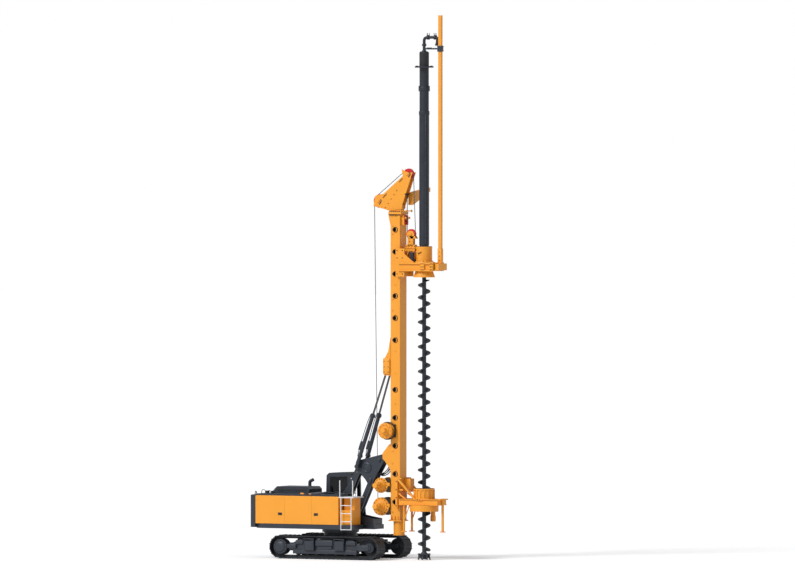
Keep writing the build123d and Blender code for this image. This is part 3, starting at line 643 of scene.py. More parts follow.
def strand_rope(path):
    """A laid wire rope along straight runs and sheave arcs: a lobed section turned as it is drawn out."""
    length = sum((Vector(b) - Vector(a)).length for a, b in zip(path, path[1:]))
    rope = circle(12, ROPE_RADIUS)
    with editing():
        section = bmesh.from_edit_mesh(rope.data)
        for number, corner in enumerate(section.verts):
            corner.select_set(number % 2 == 0)
        section.select_flush_mode()
        bpy.ops.transform.resize(value=(0.78, 0.78, 1))
    steps = max(8, round(6 * length / ROPE_LAY))
    shape_by(
        rope, "SCREW", axis="Z", angle=2 * math.pi * length / ROPE_LAY, screw_offset=length,
        steps=steps, render_steps=steps, use_merge_vertices=False,
    )
    rope.rotation_euler = TURNS["X"]
    bpy.ops.object.transform_apply(rotation=True)
    with editing():
        for end in (0, length):
            bpy.ops.mesh.select_all(action="DESELECT")
            whole = bmesh.from_edit_mesh(rope.data)
            for corner in whole.verts:
                corner.select_set(abs(corner.co.x - end) < 0.002)
            whole.select_flush_mode()
            bpy.ops.mesh.edge_face_add()
        face_outward()
    route, _ = curve(path, "POLY")
    shape_by(rope, "CURVE", object=route, deform_axis="POS_X")
    bpy.data.objects.remove(route)
    return rope


def sheave_arc(sheave, radius, first, last, count=9):
    """Points of a rope round a sheave in the mast's plane, between two angles in degrees above forward."""
    middle = middle_of(sheave)
    points = []
    for n in range(count):
        angle = math.radians(first + (last - first) * n / (count - 1))
        points.append((middle.x + radius * math.cos(angle), 0, middle.z + radius * math.sin(angle)))
    return points


def straight(start, end, pieces=12):
    """Points of a straight run, close enough together to follow a joint."""
    start, end = Vector(start), Vector(end)
    return [tuple(start.lerp(end, n / pieces)) for n in range(pieces + 1)]


def wire_ropes():
    """Hoist rope from the main winch over both mast-head sheaves, and its two falls to the head's block."""
    main = middle_of("main_winch_drum")
    rear = size_of("cathead_rear_sheave").x / 2 + 0.014
    top = size_of("cathead_top_sheave").x / 2 - 0.012
    lift = size_of("hoist_sheave").x / 2 - 0.012
    rope = (
        [(main.x - 0.285, 0, main.z)]
        + sheave_arc("cathead_rear_sheave", rear, 180, 130)
        + sheave_arc("cathead_top_sheave", top, 130, 10)
    )
    keep("hoist_rope", MAST, "wire_rope", [strand_rope(rope)])
    front = middle_of("cathead_top_sheave") + Vector((top, 0, 0))
    block_at = middle_of("hoist_sheave")
    anchor_x, anchor_z = block_at.x - lift, 13.5
    falls = (
        straight(front, block_at + Vector((lift, 0, 0)))[:-1]
        + sheave_arc("hoist_sheave", lift, 0, -180)[1:-1]
        + straight(block_at + Vector((-lift, 0, 0)), (anchor_x, 0, anchor_z - 0.05))
    )
    piece = keep("hoist_rope_falls", None, "wire_rope", [strand_rope(falls)])
    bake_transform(piece)
    keep("rope_socket", MAST, "black_paint", [
        turned(mm("30 -150, 30 150, 24 156"), (anchor_x, 0, anchor_z), "Y", 20),
        turned(mm("20 0, 30 20, 30 140, 22 160"), (anchor_x, 0, anchor_z - 0.17), "Z", 16),
    ])


def rope_windings():
    """The rope wound on each drum, turn beside turn."""
    for node, body, radius, half, y in (
        ("main_winch_drum", "main_drum", 0.285, 0.222, 0),
        ("second_winch_drum", "second_drum", 0.186, 0.222, 0),
        ("side_winch_drum", "side_drum", 0.206, 0.085, -0.41),
    ):
        coil = circle(8, COIL_RADIUS)
        with editing():
            bpy.ops.transform.rotate(value=math.pi / 2, orient_axis="X", center_override=(0, 0, 0))
            bpy.ops.transform.translate(value=(radius, 0, 0))
        turns = round(half / COIL_RADIUS)
        shape_by(coil, "SCREW", axis="Z", screw_offset=2 * COIL_RADIUS, iterations=turns, steps=24, render_steps=24)
        close_ends()
        centre = middle_of(node)
        coil.rotation_euler = TURNS["-Y"]
        coil.location = (centre.x, y + turns * COIL_RADIUS, centre.z)
        keep(body + "_rope", body, "wire_rope", [coil], 60)


# -------- concrete swivel at the top
def gooseneck():
    """The bent pipe on the swivel, its clamp on the guide tube and the bolts of the tube's flange."""
    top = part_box("swivel")[1][2]

    def over(x, z):
        return AUGER_X + x, 0, top + z

    neck = turned(mm("176 0, 150 35, 85 50, 75 70, 75 90"), over(0, 0))
    bend = pipe(
        [over(x, z) for x, z in (
            (0, 0), (0, 0.3), (0, 0.54), (0.2, 0.56), (0.36, 0.56), (0.53, 0.56), (0.56, 0.44), (0.53, 0.3),
        )], 0.055, sides=5,
    )
    joint = mm("56 0, 88 0, 88 20, 75 30, 75 50, 88 60, 88 80, 56 80")
    outlet = mm("45 0, 66 0, 70 40, 70 70, 45 70")
    flanges = [
        turned(joint, over(0, 0.24), "Z", 24, ring=True),
        turned(joint, over(0.13, 0.56), "X", 24, ring=True),
        turned(joint, over(0.42, 0.56), "X", 24, ring=True),
        turned(outlet, over(0.53, 0.25), ring=True),
    ]
    ears = [
        bar(over(x, 0.62), over(x + lean, 0.72), 0.03, 0.02)
        for x, lean in ((0.13, 0.0), (0.2, 0.02), (0.43, -0.02), (0.49, 0.0))
    ]
    keep("gooseneck", HEAD, "auger_steel", [neck, bend] + flanges + ears)
    arm = [
        block((AUGER_X + 0.03, -0.035, top + 0.11), (GUIDE_X - 0.07, 0.035, top + 0.17)),
        block((AUGER_X + 0.12, -0.05, top + 0.17), (AUGER_X + 0.3, 0.05, top + 0.185)),
    ]
    clamp = sleeve((GUIDE_X - 0.085, -0.085, top + 0.03), (GUIDE_X + 0.085, 0.085, top + 0.25), "Z", 0.022)
    straps = [
        block((GUIDE_X - 0.09, side * 0.09 - 0.008, top + z), (GUIDE_X + 0.09, side * 0.09 + 0.008, top + z + 0.03))
        for side in (-1, 1) for z in (0.05, 0.2)
    ]
    keep("guide_clamp", HEAD, "dark_paint", arm + [clamp] + straps)
    flange = (AUGER_X, 0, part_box("drill_tube")[1][2])
    keep("swivel_bolts", STRING, "black_paint", bolts("Z", 0.018, round_places(flange, "Z", 0.29, 12)))


# -------- drilling head
def ring_on_auger(steps, z, sides=48):
    """A ring turned about the auger's axis."""
    return turned(steps, (AUGER_X, 0, z), "Z", sides, True)


def head_housing():
    """The head's flared bell, its rims, bolts, motors and handle."""
    low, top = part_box("head_gearbox")[0][2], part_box("head_gearbox")[1][2]
    bell = ring_on_auger(mm("200 0, 200 -250, 398 -250, 398 -225, 300 -50, 300 0"), low)
    ribs = [
        bar((AUGER_X + 0.31 * out.x, 0.31 * out.y, low - 0.01), (AUGER_X + 0.385 * out.x, 0.385 * out.y, low - 0.21),
            0.03, 0.03)
        for out in round_places((0, 0, 0), "Z", 1, 8, 0.2)
    ]
    keep("head_bell", HEAD, "yellow_paint", [bell] + ribs)
    keep("gearbox_rims", HEAD, "yellow_paint", [
        ring_on_auger(mm("270 0, 348 0, 348 30, 320 75, 300 90, 270 90"), low + 0.27),
        ring_on_auger(mm("280 0, 302 0, 302 70, 295 80, 280 80"), top - 0.08),
        ring_on_auger(mm("280 0, 300 0, 300 20, 280 20"), top - 0.3),
    ])
    keep(
        "gearbox_bolts", HEAD, "black_paint",
        bolts("Z", 0.016, round_places((AUGER_X, 0, low + 0.345), "Z", 0.322, 16))
        + bolts("Z", 0.016, round_places((AUGER_X, 0, top), "Z", 0.262, 16)),
    )
    keep("head_motors", HEAD, "dark_paint", [
        turned(mm("100 0, 100 50, 82 70, 82 260, 90 270, 90 340, 70 370"),
               (AUGER_X - 0.42, side * 0.17, top - 0.58), "Z", 24)
        for side in (-1, 1)
    ])
    keep("gearbox_handle", HEAD, "black_paint", [
        bar((AUGER_X - 0.1, -0.305, top - 0.26), (AUGER_X + 0.04, -0.31, top - 0.2), 0.035, 0.03, 0.01)
    ])


def tube_keys():
    """The drill tube's four keys, its collars and their lugs."""
    low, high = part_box("head_gearbox")[1][2] + 0.05, 16.45
    keys = [
        bar((AUGER_X + out.x, out.y, low), (AUGER_X + out.x, out.y, high), 0.03, 0.03, 0.004)
        for out in round_places((0, 0, 0), "Z", 0.173, 4, math.pi / 4)
    ]
    collar = mm("170 0, 190 0, 196 20, 196 130, 190 150, 170 150")
    collars = [ring_on_auger(collar, z, 40) for z in (17.32, 16.42)]
    lugs = [
        block((AUGER_X + side * 0.2 - 0.018, -0.04, 17.3), (AUGER_X + side * 0.2 + 0.018, 0.04, 17.5))
        for side in (-1, 1)
    ]
    keep("tube_keys", STRING, "auger_steel", keys + collars + lugs)


def auger_ends():
    """The cutting head with its teeth, and the flight's last turn under the head."""
    cut = []
    for n in range(8):
        angle = math.radians(45 * n + 12)
        out = Vector((math.cos(angle), math.sin(angle), 0))
        middle = Vector((AUGER_X, 0, 0)) + 0.18 * out
        up = Vector((0, 0, 1))
        cut.append(bar(middle + 0.075 * up, middle + 0.235 * up, 0.085, 0.05))
        cut.append(bar(middle + 0.03 * out + 0.1 * up, middle + 0.055 * out + 0.012 * up, 0.045, 0.035, 0.012))
    hub = turned(mm("50 30, 115 50, 125 100, 125 240, 85 300"), (AUGER_X, 0, 0), "Z", 24)
    disc = ring_on_auger(mm("110 0, 236 0, 236 50, 110 50"), 0.19, 32)
    keep("cutting_head", STRING, "auger_steel", [hub, disc] + cut)
    bpy.ops.object.select_all(action="DESELECT")
    bpy.ops.mesh.primitive_plane_add(size=1, rotation=(math.pi / 2, 0, 0))
    flight = bpy.context.object
    flight.scale = (0.161, 0.022, 1)
    bpy.ops.object.transform_apply(rotation=True, scale=True)
    with editing("FACE"):
        bpy.ops.mesh.delete(type="ONLY_FACE")
        bpy.ops.mesh.select_mode(type="VERT")
        bpy.ops.mesh.select_all(action="SELECT")
        bpy.ops.transform.translate(value=(0.1505, 0, 0))
    shape_by(flight, "SCREW", axis="Z", angle=2 * math.pi, screw_offset=FLIGHT_PITCH, steps=40, render_steps=40)
    close_ends()
    flight.location = (AUGER_X, 0, AUGER_FOOT + FLIGHT_TURNS * FLIGHT_PITCH)
    keep("top_flight", STRING, "auger_steel", [flight])


# -------- carriage and hoist block
def carriage_details():
    """Flanges and clamps of the arms, and the carriage's bolts."""
    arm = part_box("carriage")[1][1]
    proud = arm + 0.068
    shapes = []
    for side in (-1, 1):
        for z in (ARM_FOOT, ARM_FOOT + 0.265):
            shapes.append(block((2.63, side * arm, z), (4.06, side * (arm + 0.06), z + 0.05)))
        for x0, x1 in ((3.56, 3.72), (3.95, 4.09)):
            shapes.append(block((x0, side * arm, ARM_FOOT), (x1, side * proud, 11.0)))
    shapes.append(block((4.06, -0.37, 10.68), (4.1, 0.37, 10.99)))
    keep("arm_flanges", HEAD, "yellow_paint", shapes)
    heads = side_bolts(0.018, proud, [(x, z) for x in (3.6, 3.68, 3.99, 4.05) for z in (10.72, 10.83, 10.94)])
    heads += side_bolts(0.018, arm, [(x, z) for x in (2.56, 2.78) for z in (10.56, 11.15, 11.42)])
    keep("carriage_bolts", HEAD, "black_paint", heads)


def hoist_block():
    """The open hoist block with its two cheeks, and the struts under it."""
    at = middle_of("hoist_sheave")
    caps = [
        turned(mm("65 0, 65 12, 50 14, 50 26, 40 32"), (at.x, side * 0.08, at.z), axis, 28)
        for side, axis in SIDES
    ]
    inner, outer = 0.058, 0.082
    cheeks = []
    for side, axis in SIDES:
        near, far = side * inner, side * outer
        cheeks += [
            turned(mm("155 0, 160 4, 160 20, 155 24"), (at.x, near, at.z - 0.035), axis, 40),
            block((at.x - 0.13, near, 11.6), (at.x + 0.115, far, at.z - 0.05)),
            block((at.x + 0.02, near, 11.86), (at.x + 0.24, far, 11.96), 0.004, (-0.06, 0, 0)),
            block((at.x - 0.2, near, BLOCK_FOOT), (at.x + 0.2, far, 11.64)),
        ]
    cheeks.append(turned(mm("34 -90, 34 90"), (at.x, 0, at.z), "Y", 24))
    cheeks.append(block((at.x - 0.19, -0.06, BLOCK_FOOT + 0.005), (at.x + 0.19, 0.06, 11.6)))
    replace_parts(keep("hoist_block_cheeks", HEAD, "yellow_paint", cheeks), "hoist_block")
    keep("hoist_block_bolts", HEAD, "black_paint", bolts("-Y", 0.016, [
        (at.x + x, -outer, z)
        for x, z in ((-0.16, 11.58), (-0.06, 11.58), (0.06, 11.58), (0.16, 11.58), (-0.03, 11.76))
    ]))
    keep("hoist_block_details", HEAD, "yellow_paint", caps + [
        block((2.72, -0.11, BLOCK_FOOT - 0.02), (3.2, 0.11, BLOCK_FOOT + 0.01)),
        bar((2.9, 0, 11.4), (2.75, 0, 11.0), 0.22, 0.03),
        bar((3.08, 0, 11.42), (3.16, 0, 11.1), 0.2, 0.03),
    ])


def guide_foot():
    """The socket that holds the guide tube on the arms' cross beam, with its bolts."""
    half = 0.078
    keep("guide_socket", HEAD, "yellow_paint", [
        sleeve((GUIDE_X - half, -half, 10.95), (GUIDE_X + half, half, 11.5), "Z", 0.017)
    ])
    keep("guide_bolts", HEAD, "black_paint", side_bolts(0.014, half, [(GUIDE_X, z) for z in (11.06, 11.22, 11.38)]))


# -------- mast head
def head_plates():
    """Pin caps, rope keepers and stiffeners on the mast head's two plates."""
    rear, front = middle_of("cathead_rear_sheave"), middle_of("cathead_top_sheave")
    stiffeners, pins, keepers = [], [], []
    reach = 0.12
    for side, axis in SIDES:
        y = side * 0.15
        for at in (rear, front):
            pins.append(turned(mm("70 0, 70 12, 52 14, 52 28, 40 34"), (at.x, side * HEAD_PLATE, at.z), axis, 28))
            keepers.append(pipe([
                (at.x + reach * math.cos(angle), y, at.z + reach * math.sin(angle))
                for angle in map(math.radians, range(-70, 31, 20))
            ], 0.016))
        for at, start, end in ((rear, (0.2, 0.13), (0.36, 0.28)), (front, (-0.33, -0.3), (-0.2, -0.16))):
            keepers.append(bar((at.x + start[0], y, at.z + start[1]), (at.x + end[0], y, at.z + end[1]), 0.03, 0.02))
        stiffeners.append(bar((1.52, side * 0.152, 13.08), (2.2, side * 0.152, 12.88), 0.04, 0.03))
    keep("mast_head_pins", MAST, "yellow_paint", pins + stiffeners)
    keep("rope_keepers", MAST, "dark_paint", keepers)


def mast_head():
    """Brackets, small sheaves, flange bolts and the rims of the larger sheaves."""
    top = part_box("mast")[1][2]
    rods = [
        turned([(0.016, 0), (0.016, length - 0.03), (0.045, length - 0.03), (0.045, length), (0.03, length + 0.01)],
               (MAST_FRONT - 0.02, y, z), "X", 16)
        for y, z, length in (
            (-0.2, top + 0.08, 0.28), (0.2, top + 0.08, 0.28), (-0.14, 12.62, 0.22), (0.14, 12.62, 0.22),
        )
    ]
    shelf = block((MAST_FRONT, -0.16, 12.58), (MAST_FRONT + 0.1, 0.16, 12.61))
    plates = [
        block((MAST_FRONT, side * 0.16 - 0.01, 12.36), (MAST_FRONT + 0.13, side * 0.16 + 0.01, 12.72))
        for side in (-1, 1)
    ]
    gusset = block((MAST_REAR - 0.02, -0.2, 12.32), (MAST_REAR + 0.2, 0.2, top - 0.04), 0.004, (-0.1, 0, 0))
    keep("mast_head_brackets", MAST, "yellow_paint", rods + [shelf] + plates + [gusset])
    small = turned(mm("20 -20, 74 -20, 78 -14, 62 -5, 62 5, 78 14, 74 20, 20 20"), (0, 0, 0), "Y", 24, True)
    keep("small_sheaves", MAST, "red_paint", copies(
        small, [(MAST_FRONT + 0.08, side * 0.1, z) for side in (-1, 1) for z in (12.65, 12.45)]
    ))
    flange = [(2.2 + 0.078 * n, side * 0.265) for n in range(6) for side in (-1, 1)]
    heads = bolts("Z", 0.03, [(*place, top + 0.05) for place in flange])
    heads += [turned(mm("30 0, 30 -30, 18 -34, 18 -50"), (*place, top - 0.04), "Z", 6) for place in flange]
    heads += bolts("Z", 0.024, [(2.655, 0.09 * n, top + 0.05) for n in (-2, -1, 1, 2)])
    heads += bolts("-Y", 0.016, [(1.95 + 0.12 * n, -HEAD_PLATE, 13.0 + 0.16 * n) for n in range(5)])
    keep("mast_head_bolts", MAST, "black_paint", heads)
    keep("rear_sheave_rims", "rear_sheave", "red_paint", [
        turned(mm("200 -30, 248 -30, 252 -24, 218 -12, 218 12, 252 24, 248 30, 200 30"),
               middle_of("cathead_rear_sheave"), "Y", 48, True)
    ])
    keep("jib_end", MAST, "red_paint", [
        turned(mm("20 -20, 80 -20, 85 -12, 68 0, 85 12, 80 20, 20 20"), (2.86, 1.47, 13.66), "X", 24, True)
    ])


def mast_details():
    """Liners of the round ports, closed at the bottom in black as painted shade for the holes' depth; lugs, the
    covers of the luffing brackets, the foot's ribs and the pipes.
    """
    # painted shade: each port's black cup has a closed bottom that stands for the shade inside the hollow mast
    port_cup_with_shade = mm("1 -90, 83 -90, 83 9, 104 9, 100 14, 79 14, 79 -85, 1 -85")
    ports = [8.11 + 0.816 * n for n in range(6)] + [2.13 + 1.037 * n for n in range(5)]
    keep("mast_port_liners_painted_shade", MAST, "black_paint", [
        turned(port_cup_with_shade, (MAST_X, side * MAST_SIDE, z), axis, 28, True) for z in ports for side, axis in SIDES
    ])
    lugs = [
        block((MAST_X - 0.15, -MAST_SIDE - 0.03, z), (MAST_X - 0.09, -MAST_SIDE, z + 0.03))
        for z in (12.32, 12.02, 9.6, 9.2, 4.62, 4.0, 3.55, 1.75)
    ]
    plug = mm("20 0, 20 20, 14 24")
    lugs += [
        turned(plug, (MAST_X, side * MAST_SIDE, z), axis, 16)
        for z in (10.15, 9.05, 7.7, 6.9, 5.75, 4.75, 3.3, 2.6) for side, axis in SIDES
    ]
    keep("mast_lugs", MAST, "yellow_paint", lugs)
    covers = [
        block((1.93, side * 0.287 - 0.013, 6.86), (2.2, side * 0.287 + 0.013, 7.44), 0.01) for side in (-1, 1)
    ]
    covers.append(block((1.94, -0.282, 7.36), (2.2, 0.282, 7.44), 0.01))
    keep("luffing_bracket_covers", MAST, "yellow_paint", covers)
    places = [(x, z) for x in (1.98, 2.15) for z in (6.93, 7.12, 7.32)]
    keep("luffing_bracket_bolts", MAST, "black_paint", side_bolts(0.016, 0.3, places))
    keep("mast_foot_ribs", MAST, "yellow_paint", [
        block((x, side * 0.262 - 0.026, 1.46), (x + 0.016, side * 0.262 + 0.026, 1.62))
        for side in (-1, 1) for x in (2.26, 2.4, 2.54)
    ])
    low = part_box("mast")[0][2]
    keep("mast_foot_bolts", MAST, "black_paint", bolts(
        "Z", 0.02, [(x, side * 0.272, low + 0.04) for x in (2.21, 2.33, 2.47, 2.6) for side in (-1, 1)]
    ))
    line_y = 0.15
    lines = [
        pipe([(x, line_y, 4.4), (x, line_y, 8.4), (x, line_y, 12.2)], 0.011, 2)
        for x in (MAST_REAR - 0.02, MAST_REAR - 0.055)
    ]
    clips = [
        block((MAST_REAR - 0.075, line_y - 0.025, z), (MAST_REAR, line_y + 0.025, z + 0.04))
        for z in (4.6, 5.7, 8.5, 9.7, 10.9, 12.0)
    ]
    keep("mast_pipes", MAST, "black_paint", lines)
    keep("mast_pipe_clips", MAST, "yellow_paint", clips)


# -------- winches
def winch_covers():
    """Stepped covers, motors and gear housings of the two winches behind the mast."""
    shapes, heads = [], []
    face = 0.287
    for node, radius in (("main_winch_drum", 0.335), ("second_winch_drum", 0.285)):
        at = middle_of(node)
        for steps, y, axis, sides in (
            ([(radius, 0), (radius, 0.025), (radius - 0.02, 0.04), (radius - 0.07, 0.04), (radius - 0.08, 0.06),
              (0.2, 0.07), (0.19, 0.11), (0.165, 0.12), (0.15, 0.17), (0.132, 0.18), (0.132, 0.2)], -face, "-Y", 48),
            ([(radius, 0), (radius, 0.02), (radius - 0.02, 0.035), (0.2, 0.035), (0.19, 0.09), (0.12, 0.1),
              (0.1, 0.13)], face, "Y", 48),
            (mm("130 0, 130 30, 112 45, 112 100, 95 110, 95 200, 80 210"), -0.6, "-Y", 32),
            (mm("128 0, 128 140"), -0.47, "-Y", 32),
        ):
            shapes.append(turned(steps, (at.x, y, at.z), axis, sides))
        shapes.append(block((at.x, -0.32, at.z - 0.03), (MAST_REAR, -0.285, at.z + 0.1)))
        for axis, size, y, reach, count in (
            ("-Y", 0.016, -face - 0.04, radius - 0.045, 14),
            ("Y", 0.016, face + 0.035, radius - 0.06, 10),
            ("-Y", 0.014, -0.63, 0.118, 6),
        ):
            heads += bolts(axis, size, round_places((at.x, y, at.z), "Y", reach, count))
    keep("winch_covers", MAST, "yellow_paint", shapes)
    keep("winch_bolts", MAST, "black_paint", heads)


def side_winch():
    """The third winch's turning cover, its rim and its motor."""
    at = middle_of("side_winch_drum")
    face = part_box("side_winch_drum")[0][1]
    keep("side_winch_cover", "side_drum", "yellow_paint", [
        turned(mm("275 0, 275 20, 255 35, 215 35, 205 20, 170 20, 160 50, 115 60, 115 100, 90 120"),
               (at.x, face, at.z), "-Y", 48)
    ])
    rim_places = round_places((at.x, face - 0.035, at.z), "Y", 0.235, 10)
    keep("side_winch_bolts", "side_drum", "black_paint", bolts("-Y", 0.012, rim_places))
    keep("side_winch_rim", MAST, "black_paint", [
        turned(mm("304 0, 335 0, 335 70, 320 80, 304 80"), (at.x, -0.29, at.z), "-Y", 48, True)
    ])
    keep("side_winch_motor", MAST, "yellow_paint", [
        turned(mm("85 0, 85 50, 100 60, 100 110, 80 130"), (at.x + 0.02, -0.63, at.z + 0.02), "-Y", 28)
    ])


# -------- auger cleaner
def cleaner():
    """Rims and ribs of the cleaner's housing, the ring's motor and the bolts round its edges."""
    low, high = (corner[2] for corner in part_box("cleaner_housing"))
    rim = ring_on_auger(mm("360 0, 398 0, 398 40, 390 50, 310 50, 310 30, 360 30"), high - 0.05, 56)
    foot = ring_on_auger(mm("360 0, 410 0, 410 30, 380 45, 360 45"), low, 56)
    ribs = []
    for out in round_places((0, 0, 0), "Z", 1, 16, 0.1):
        x, y = AUGER_X + 0.377 * out.x, 0.377 * out.y
        ribs.append(bar((x, y, low + 0.03), (x, y, high - 0.04), 0.03, 0.03, 0.004))
    keep("cleaner_rims", MAST, "yellow_paint", [rim, foot] + ribs)
    keep("cleaner_bolts", MAST, "black_paint", bolts("Z", 0.014, round_places((AUGER_X, 0, high), "Z", 0.35, 20)))
    stand_braces()
    motor_y = 0.63
    keep("ring_motor", MAST, "yellow_paint", [
        turned(mm("70 0, 100 20, 100 200, 85 220, 85 600, 110 620, 110 720, 90 740"),
               (AUGER_X + 0.04, motor_y, 1.4), "Z", 28),
        block((AUGER_X - 0.08, 0.36, 2.05), (AUGER_X + 0.16, motor_y + 0.1, 2.1)),
    ])
    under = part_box("cleaner_ring")[0][2]
    keep("cleaner_ring_bolts", "rough_ring", "black_paint", [
        turned(mm("18 0, 18 -12, 13 -16"), place, "Z", 8)
        for place in round_places((AUGER_X, 0, under), "Z", 0.5, 24)
    ])


def stand_braces():
    """Posts, struts and flanges of the stand on the mast's front."""
    shapes = []
    for side in (-1, 1):
        y = side * 0.35
        shapes += [
            block((2.5, y - 0.04, 1.89), (2.58, y + 0.04, 3.03)),
            bar((2.6, y, 2.98), (3.3, y, 2.24), 0.09, 0.07),
            bar((2.62, y, 2.45), (2.98, y, 2.2), 0.04, 0.05),
            block((2.52, y - 0.05, 2.98), (2.75, y + 0.05, 3.03)),
            block((3.35, y - 0.05, 2.2), (3.6, y + 0.05, 2.27)),
            block((2.62, y - 0.05, 2.235), (4.25, y + 0.05, 2.255)),
            block((2.62, y - 0.05, 2.03), (4.25, y + 0.05, 2.045)),
            bar((2.823, y * 0.886, 1.45), (3.05, y * 0.886, 2.03), 0.035, 0.035),
        ]
    shapes += [
        block((2.622, 0.06, 2.5), (2.9, 0.36, 2.99), 0.012),
        block((2.622, -0.3, 2.55), (2.76, 0.06, 2.62)),
        block((4.12, -0.33, 2.22), (4.33, 0.33, 2.27)),
    ]
    keep("stand_braces", MAST, "yellow_paint", shapes)
    places = [(2.54, 2.0), (2.54, 2.3), (2.54, 2.6), (2.54, 2.9), (3.42, 2.235), (3.53, 2.235)]
    keep("stand_bolts", MAST, "black_paint", bolts("-Y", 0.018, [(x, -0.402, z) for x, z in places]))


# -------- boom
def boom_details():
    """Rings on the boom's plates, fittings on the luffing cylinders and the hoses to the mast."""
    for side, axis in SIDES:
        name = SIDE_NAMES[side]
        plate = side * 0.212
        keep("boom_plate_rings_" + name, "boom_head_frame", "dark_paint", [
            turned(mm("125 0, 185 0, 185 16, 170 24, 140 24, 125 14"), (1.2, plate, 3.38), axis, 40, True),
            turned(mm("118 0, 118 6, 100 12"), (1.2, plate, 3.38), axis, 40),
            turned(mm("60 0, 60 20, 45 26, 45 40, 30 45"), (1.72, plate, 3.66), axis, 24),
            turned(mm("75 0, 75 20, 60 26"), (1.34, plate, 2.9), axis, 24),
        ])
        foot = Vector((0.85, side * 0.33, 3.42))
        along = (Vector((2.02, side * 0.166, 6.95)) - foot).normalized()
        across = along.cross(Vector((0, 1, 0))).normalized()
        fittings = []
        for distance, steps in (
            (0.36, mm("60 0, 100 20, 100 80, 92 100")),
            (1.93, mm("88 0, 104 0, 104 90, 80 100, 60 120")),
        ):
            band = turned(steps, foot + along * distance, "Z", 32)
            band.rotation_euler = along.to_track_quat("Z", "Y").to_euler()
            fittings.append(band)
        fittings.append(pipe([
            tuple(foot + along * distance + across * off)
            for distance, off in ((0.45, 0.1), (0.6, 0.13), (1.2, 0.13), (1.75, 0.13), (1.95, 0.1))
        ], 0.014))
        fittings.append(bar(foot + along * 0.62 + across * 0.1, foot + along * 0.95 + across * 0.1, 0.09, 0.09))
        keep("luffing_cylinder_fittings_" + name, "luffing_barrel_" + name, "dark_paint", fittings)
    hoses = [
        pipe([
            (1.5, y, 3.24), (1.62, y, 3.16 - sag), (1.8, y, 3.16 - sag), (1.98, y * 1.3, 3.26 - sag),
            (2.12, y * 1.5, 3.45), (2.2, y * 1.5, 3.66),
        ], 0.018)
        for y, sag in ((-0.09, 0.0), (-0.03, 0.05), (0.04, 0.02), (0.1, 0.08))
    ]
    piece = keep("mast_hoses", None, "black_paint", hoses)
    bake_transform(piece)


# -------- undercarriage
WHEEL_X = 1.86
WHEEL_Z = 0.44
BEAM_X = 0.63


def track_details():
    """Hub covers, castings and bolts on the outer face of each crawler."""
    for side, axis in SIDES:
        name = SIDE_NAMES[side]
        body = name + "_track"
        keep("hub_covers_" + name, body, "dark_paint", [
            turned(mm("285 0, 285 90, 265 110, 200 110, 185 125, 185 140, 165 150"),
                   (-WHEEL_X, side * 1.18, WHEEL_Z), axis, 40),
            turned(mm("200 0, 200 60, 170 90, 90 90, 80 120"), (WHEEL_X, side * 1.17, WHEEL_Z), axis, 36),
        ])
        casting = [
            block((x0, side * 1.17, z0), (x1, side * reach, z1), 0.012)
            for x0, x1, z0, z1, reach in (
                (-1.5, 1.46, 0.34, 0.6, 1.22),
                (-1.34, 1.34, 0.19, 0.345, 1.26),
                (1.4, 1.86, 0.34, 0.54, 1.31),
                (-1.56, -1.2, 0.4, 0.54, 1.3),
                (-0.36, 0.36, 0.5, 0.7, 1.32),
                (-1.2, -0.9, 0.56, 0.7, 1.29),
                (0.9, 1.3, 0.54, 0.68, 1.29),
                (-0.3, 0.3, 0.36, 0.5, 1.27),
            )
        ]
        casting += [
            sleeve((x - 0.207, side * 1.16, 0.322), (x + 0.207, side * 1.345, 0.76), "Y", 0.026)
            for x in (-BEAM_X, BEAM_X)
        ]
        keep("track_frame_castings_" + name, body, "dark_paint", casting)
        heads = bolts(axis, 0.02, round_places((-WHEEL_X, side * 1.29, WHEEL_Z), "Y", 0.235, 12))
        heads += bolts(axis, 0.02, round_places((WHEEL_X, side * 1.26, WHEEL_Z), "Y", 0.13, 8))
        keep("hub_bolts_" + name, body, "black_paint", heads)


# -------- house and cab
DOOR_REACH = 1.25
HANDLE_Z = 1.65


def door_handles():
    """A plate and a grip on each side door."""
    for body, side, x in (
        ("right_rear_door", -1, -1.88), ("right_front_door", -1, -0.37), ("left_rear_door", 1, -1.88),
    ):
        y = side * DOOR_REACH
        plate = block((x - 0.085, y, HANDLE_Z - 0.05), (x + 0.085, y + side * 0.006, HANDLE_Z + 0.05), 0.002)
        grip = pipe([
            (x + dx, y + side * out, HANDLE_Z)
            for dx, out in ((-0.055, 0.004), (-0.05, 0.022), (0.05, 0.022), (0.055, 0.004))
        ], 0.008)
        keep("handle_" + body, body, "black_paint", [plate, grip])


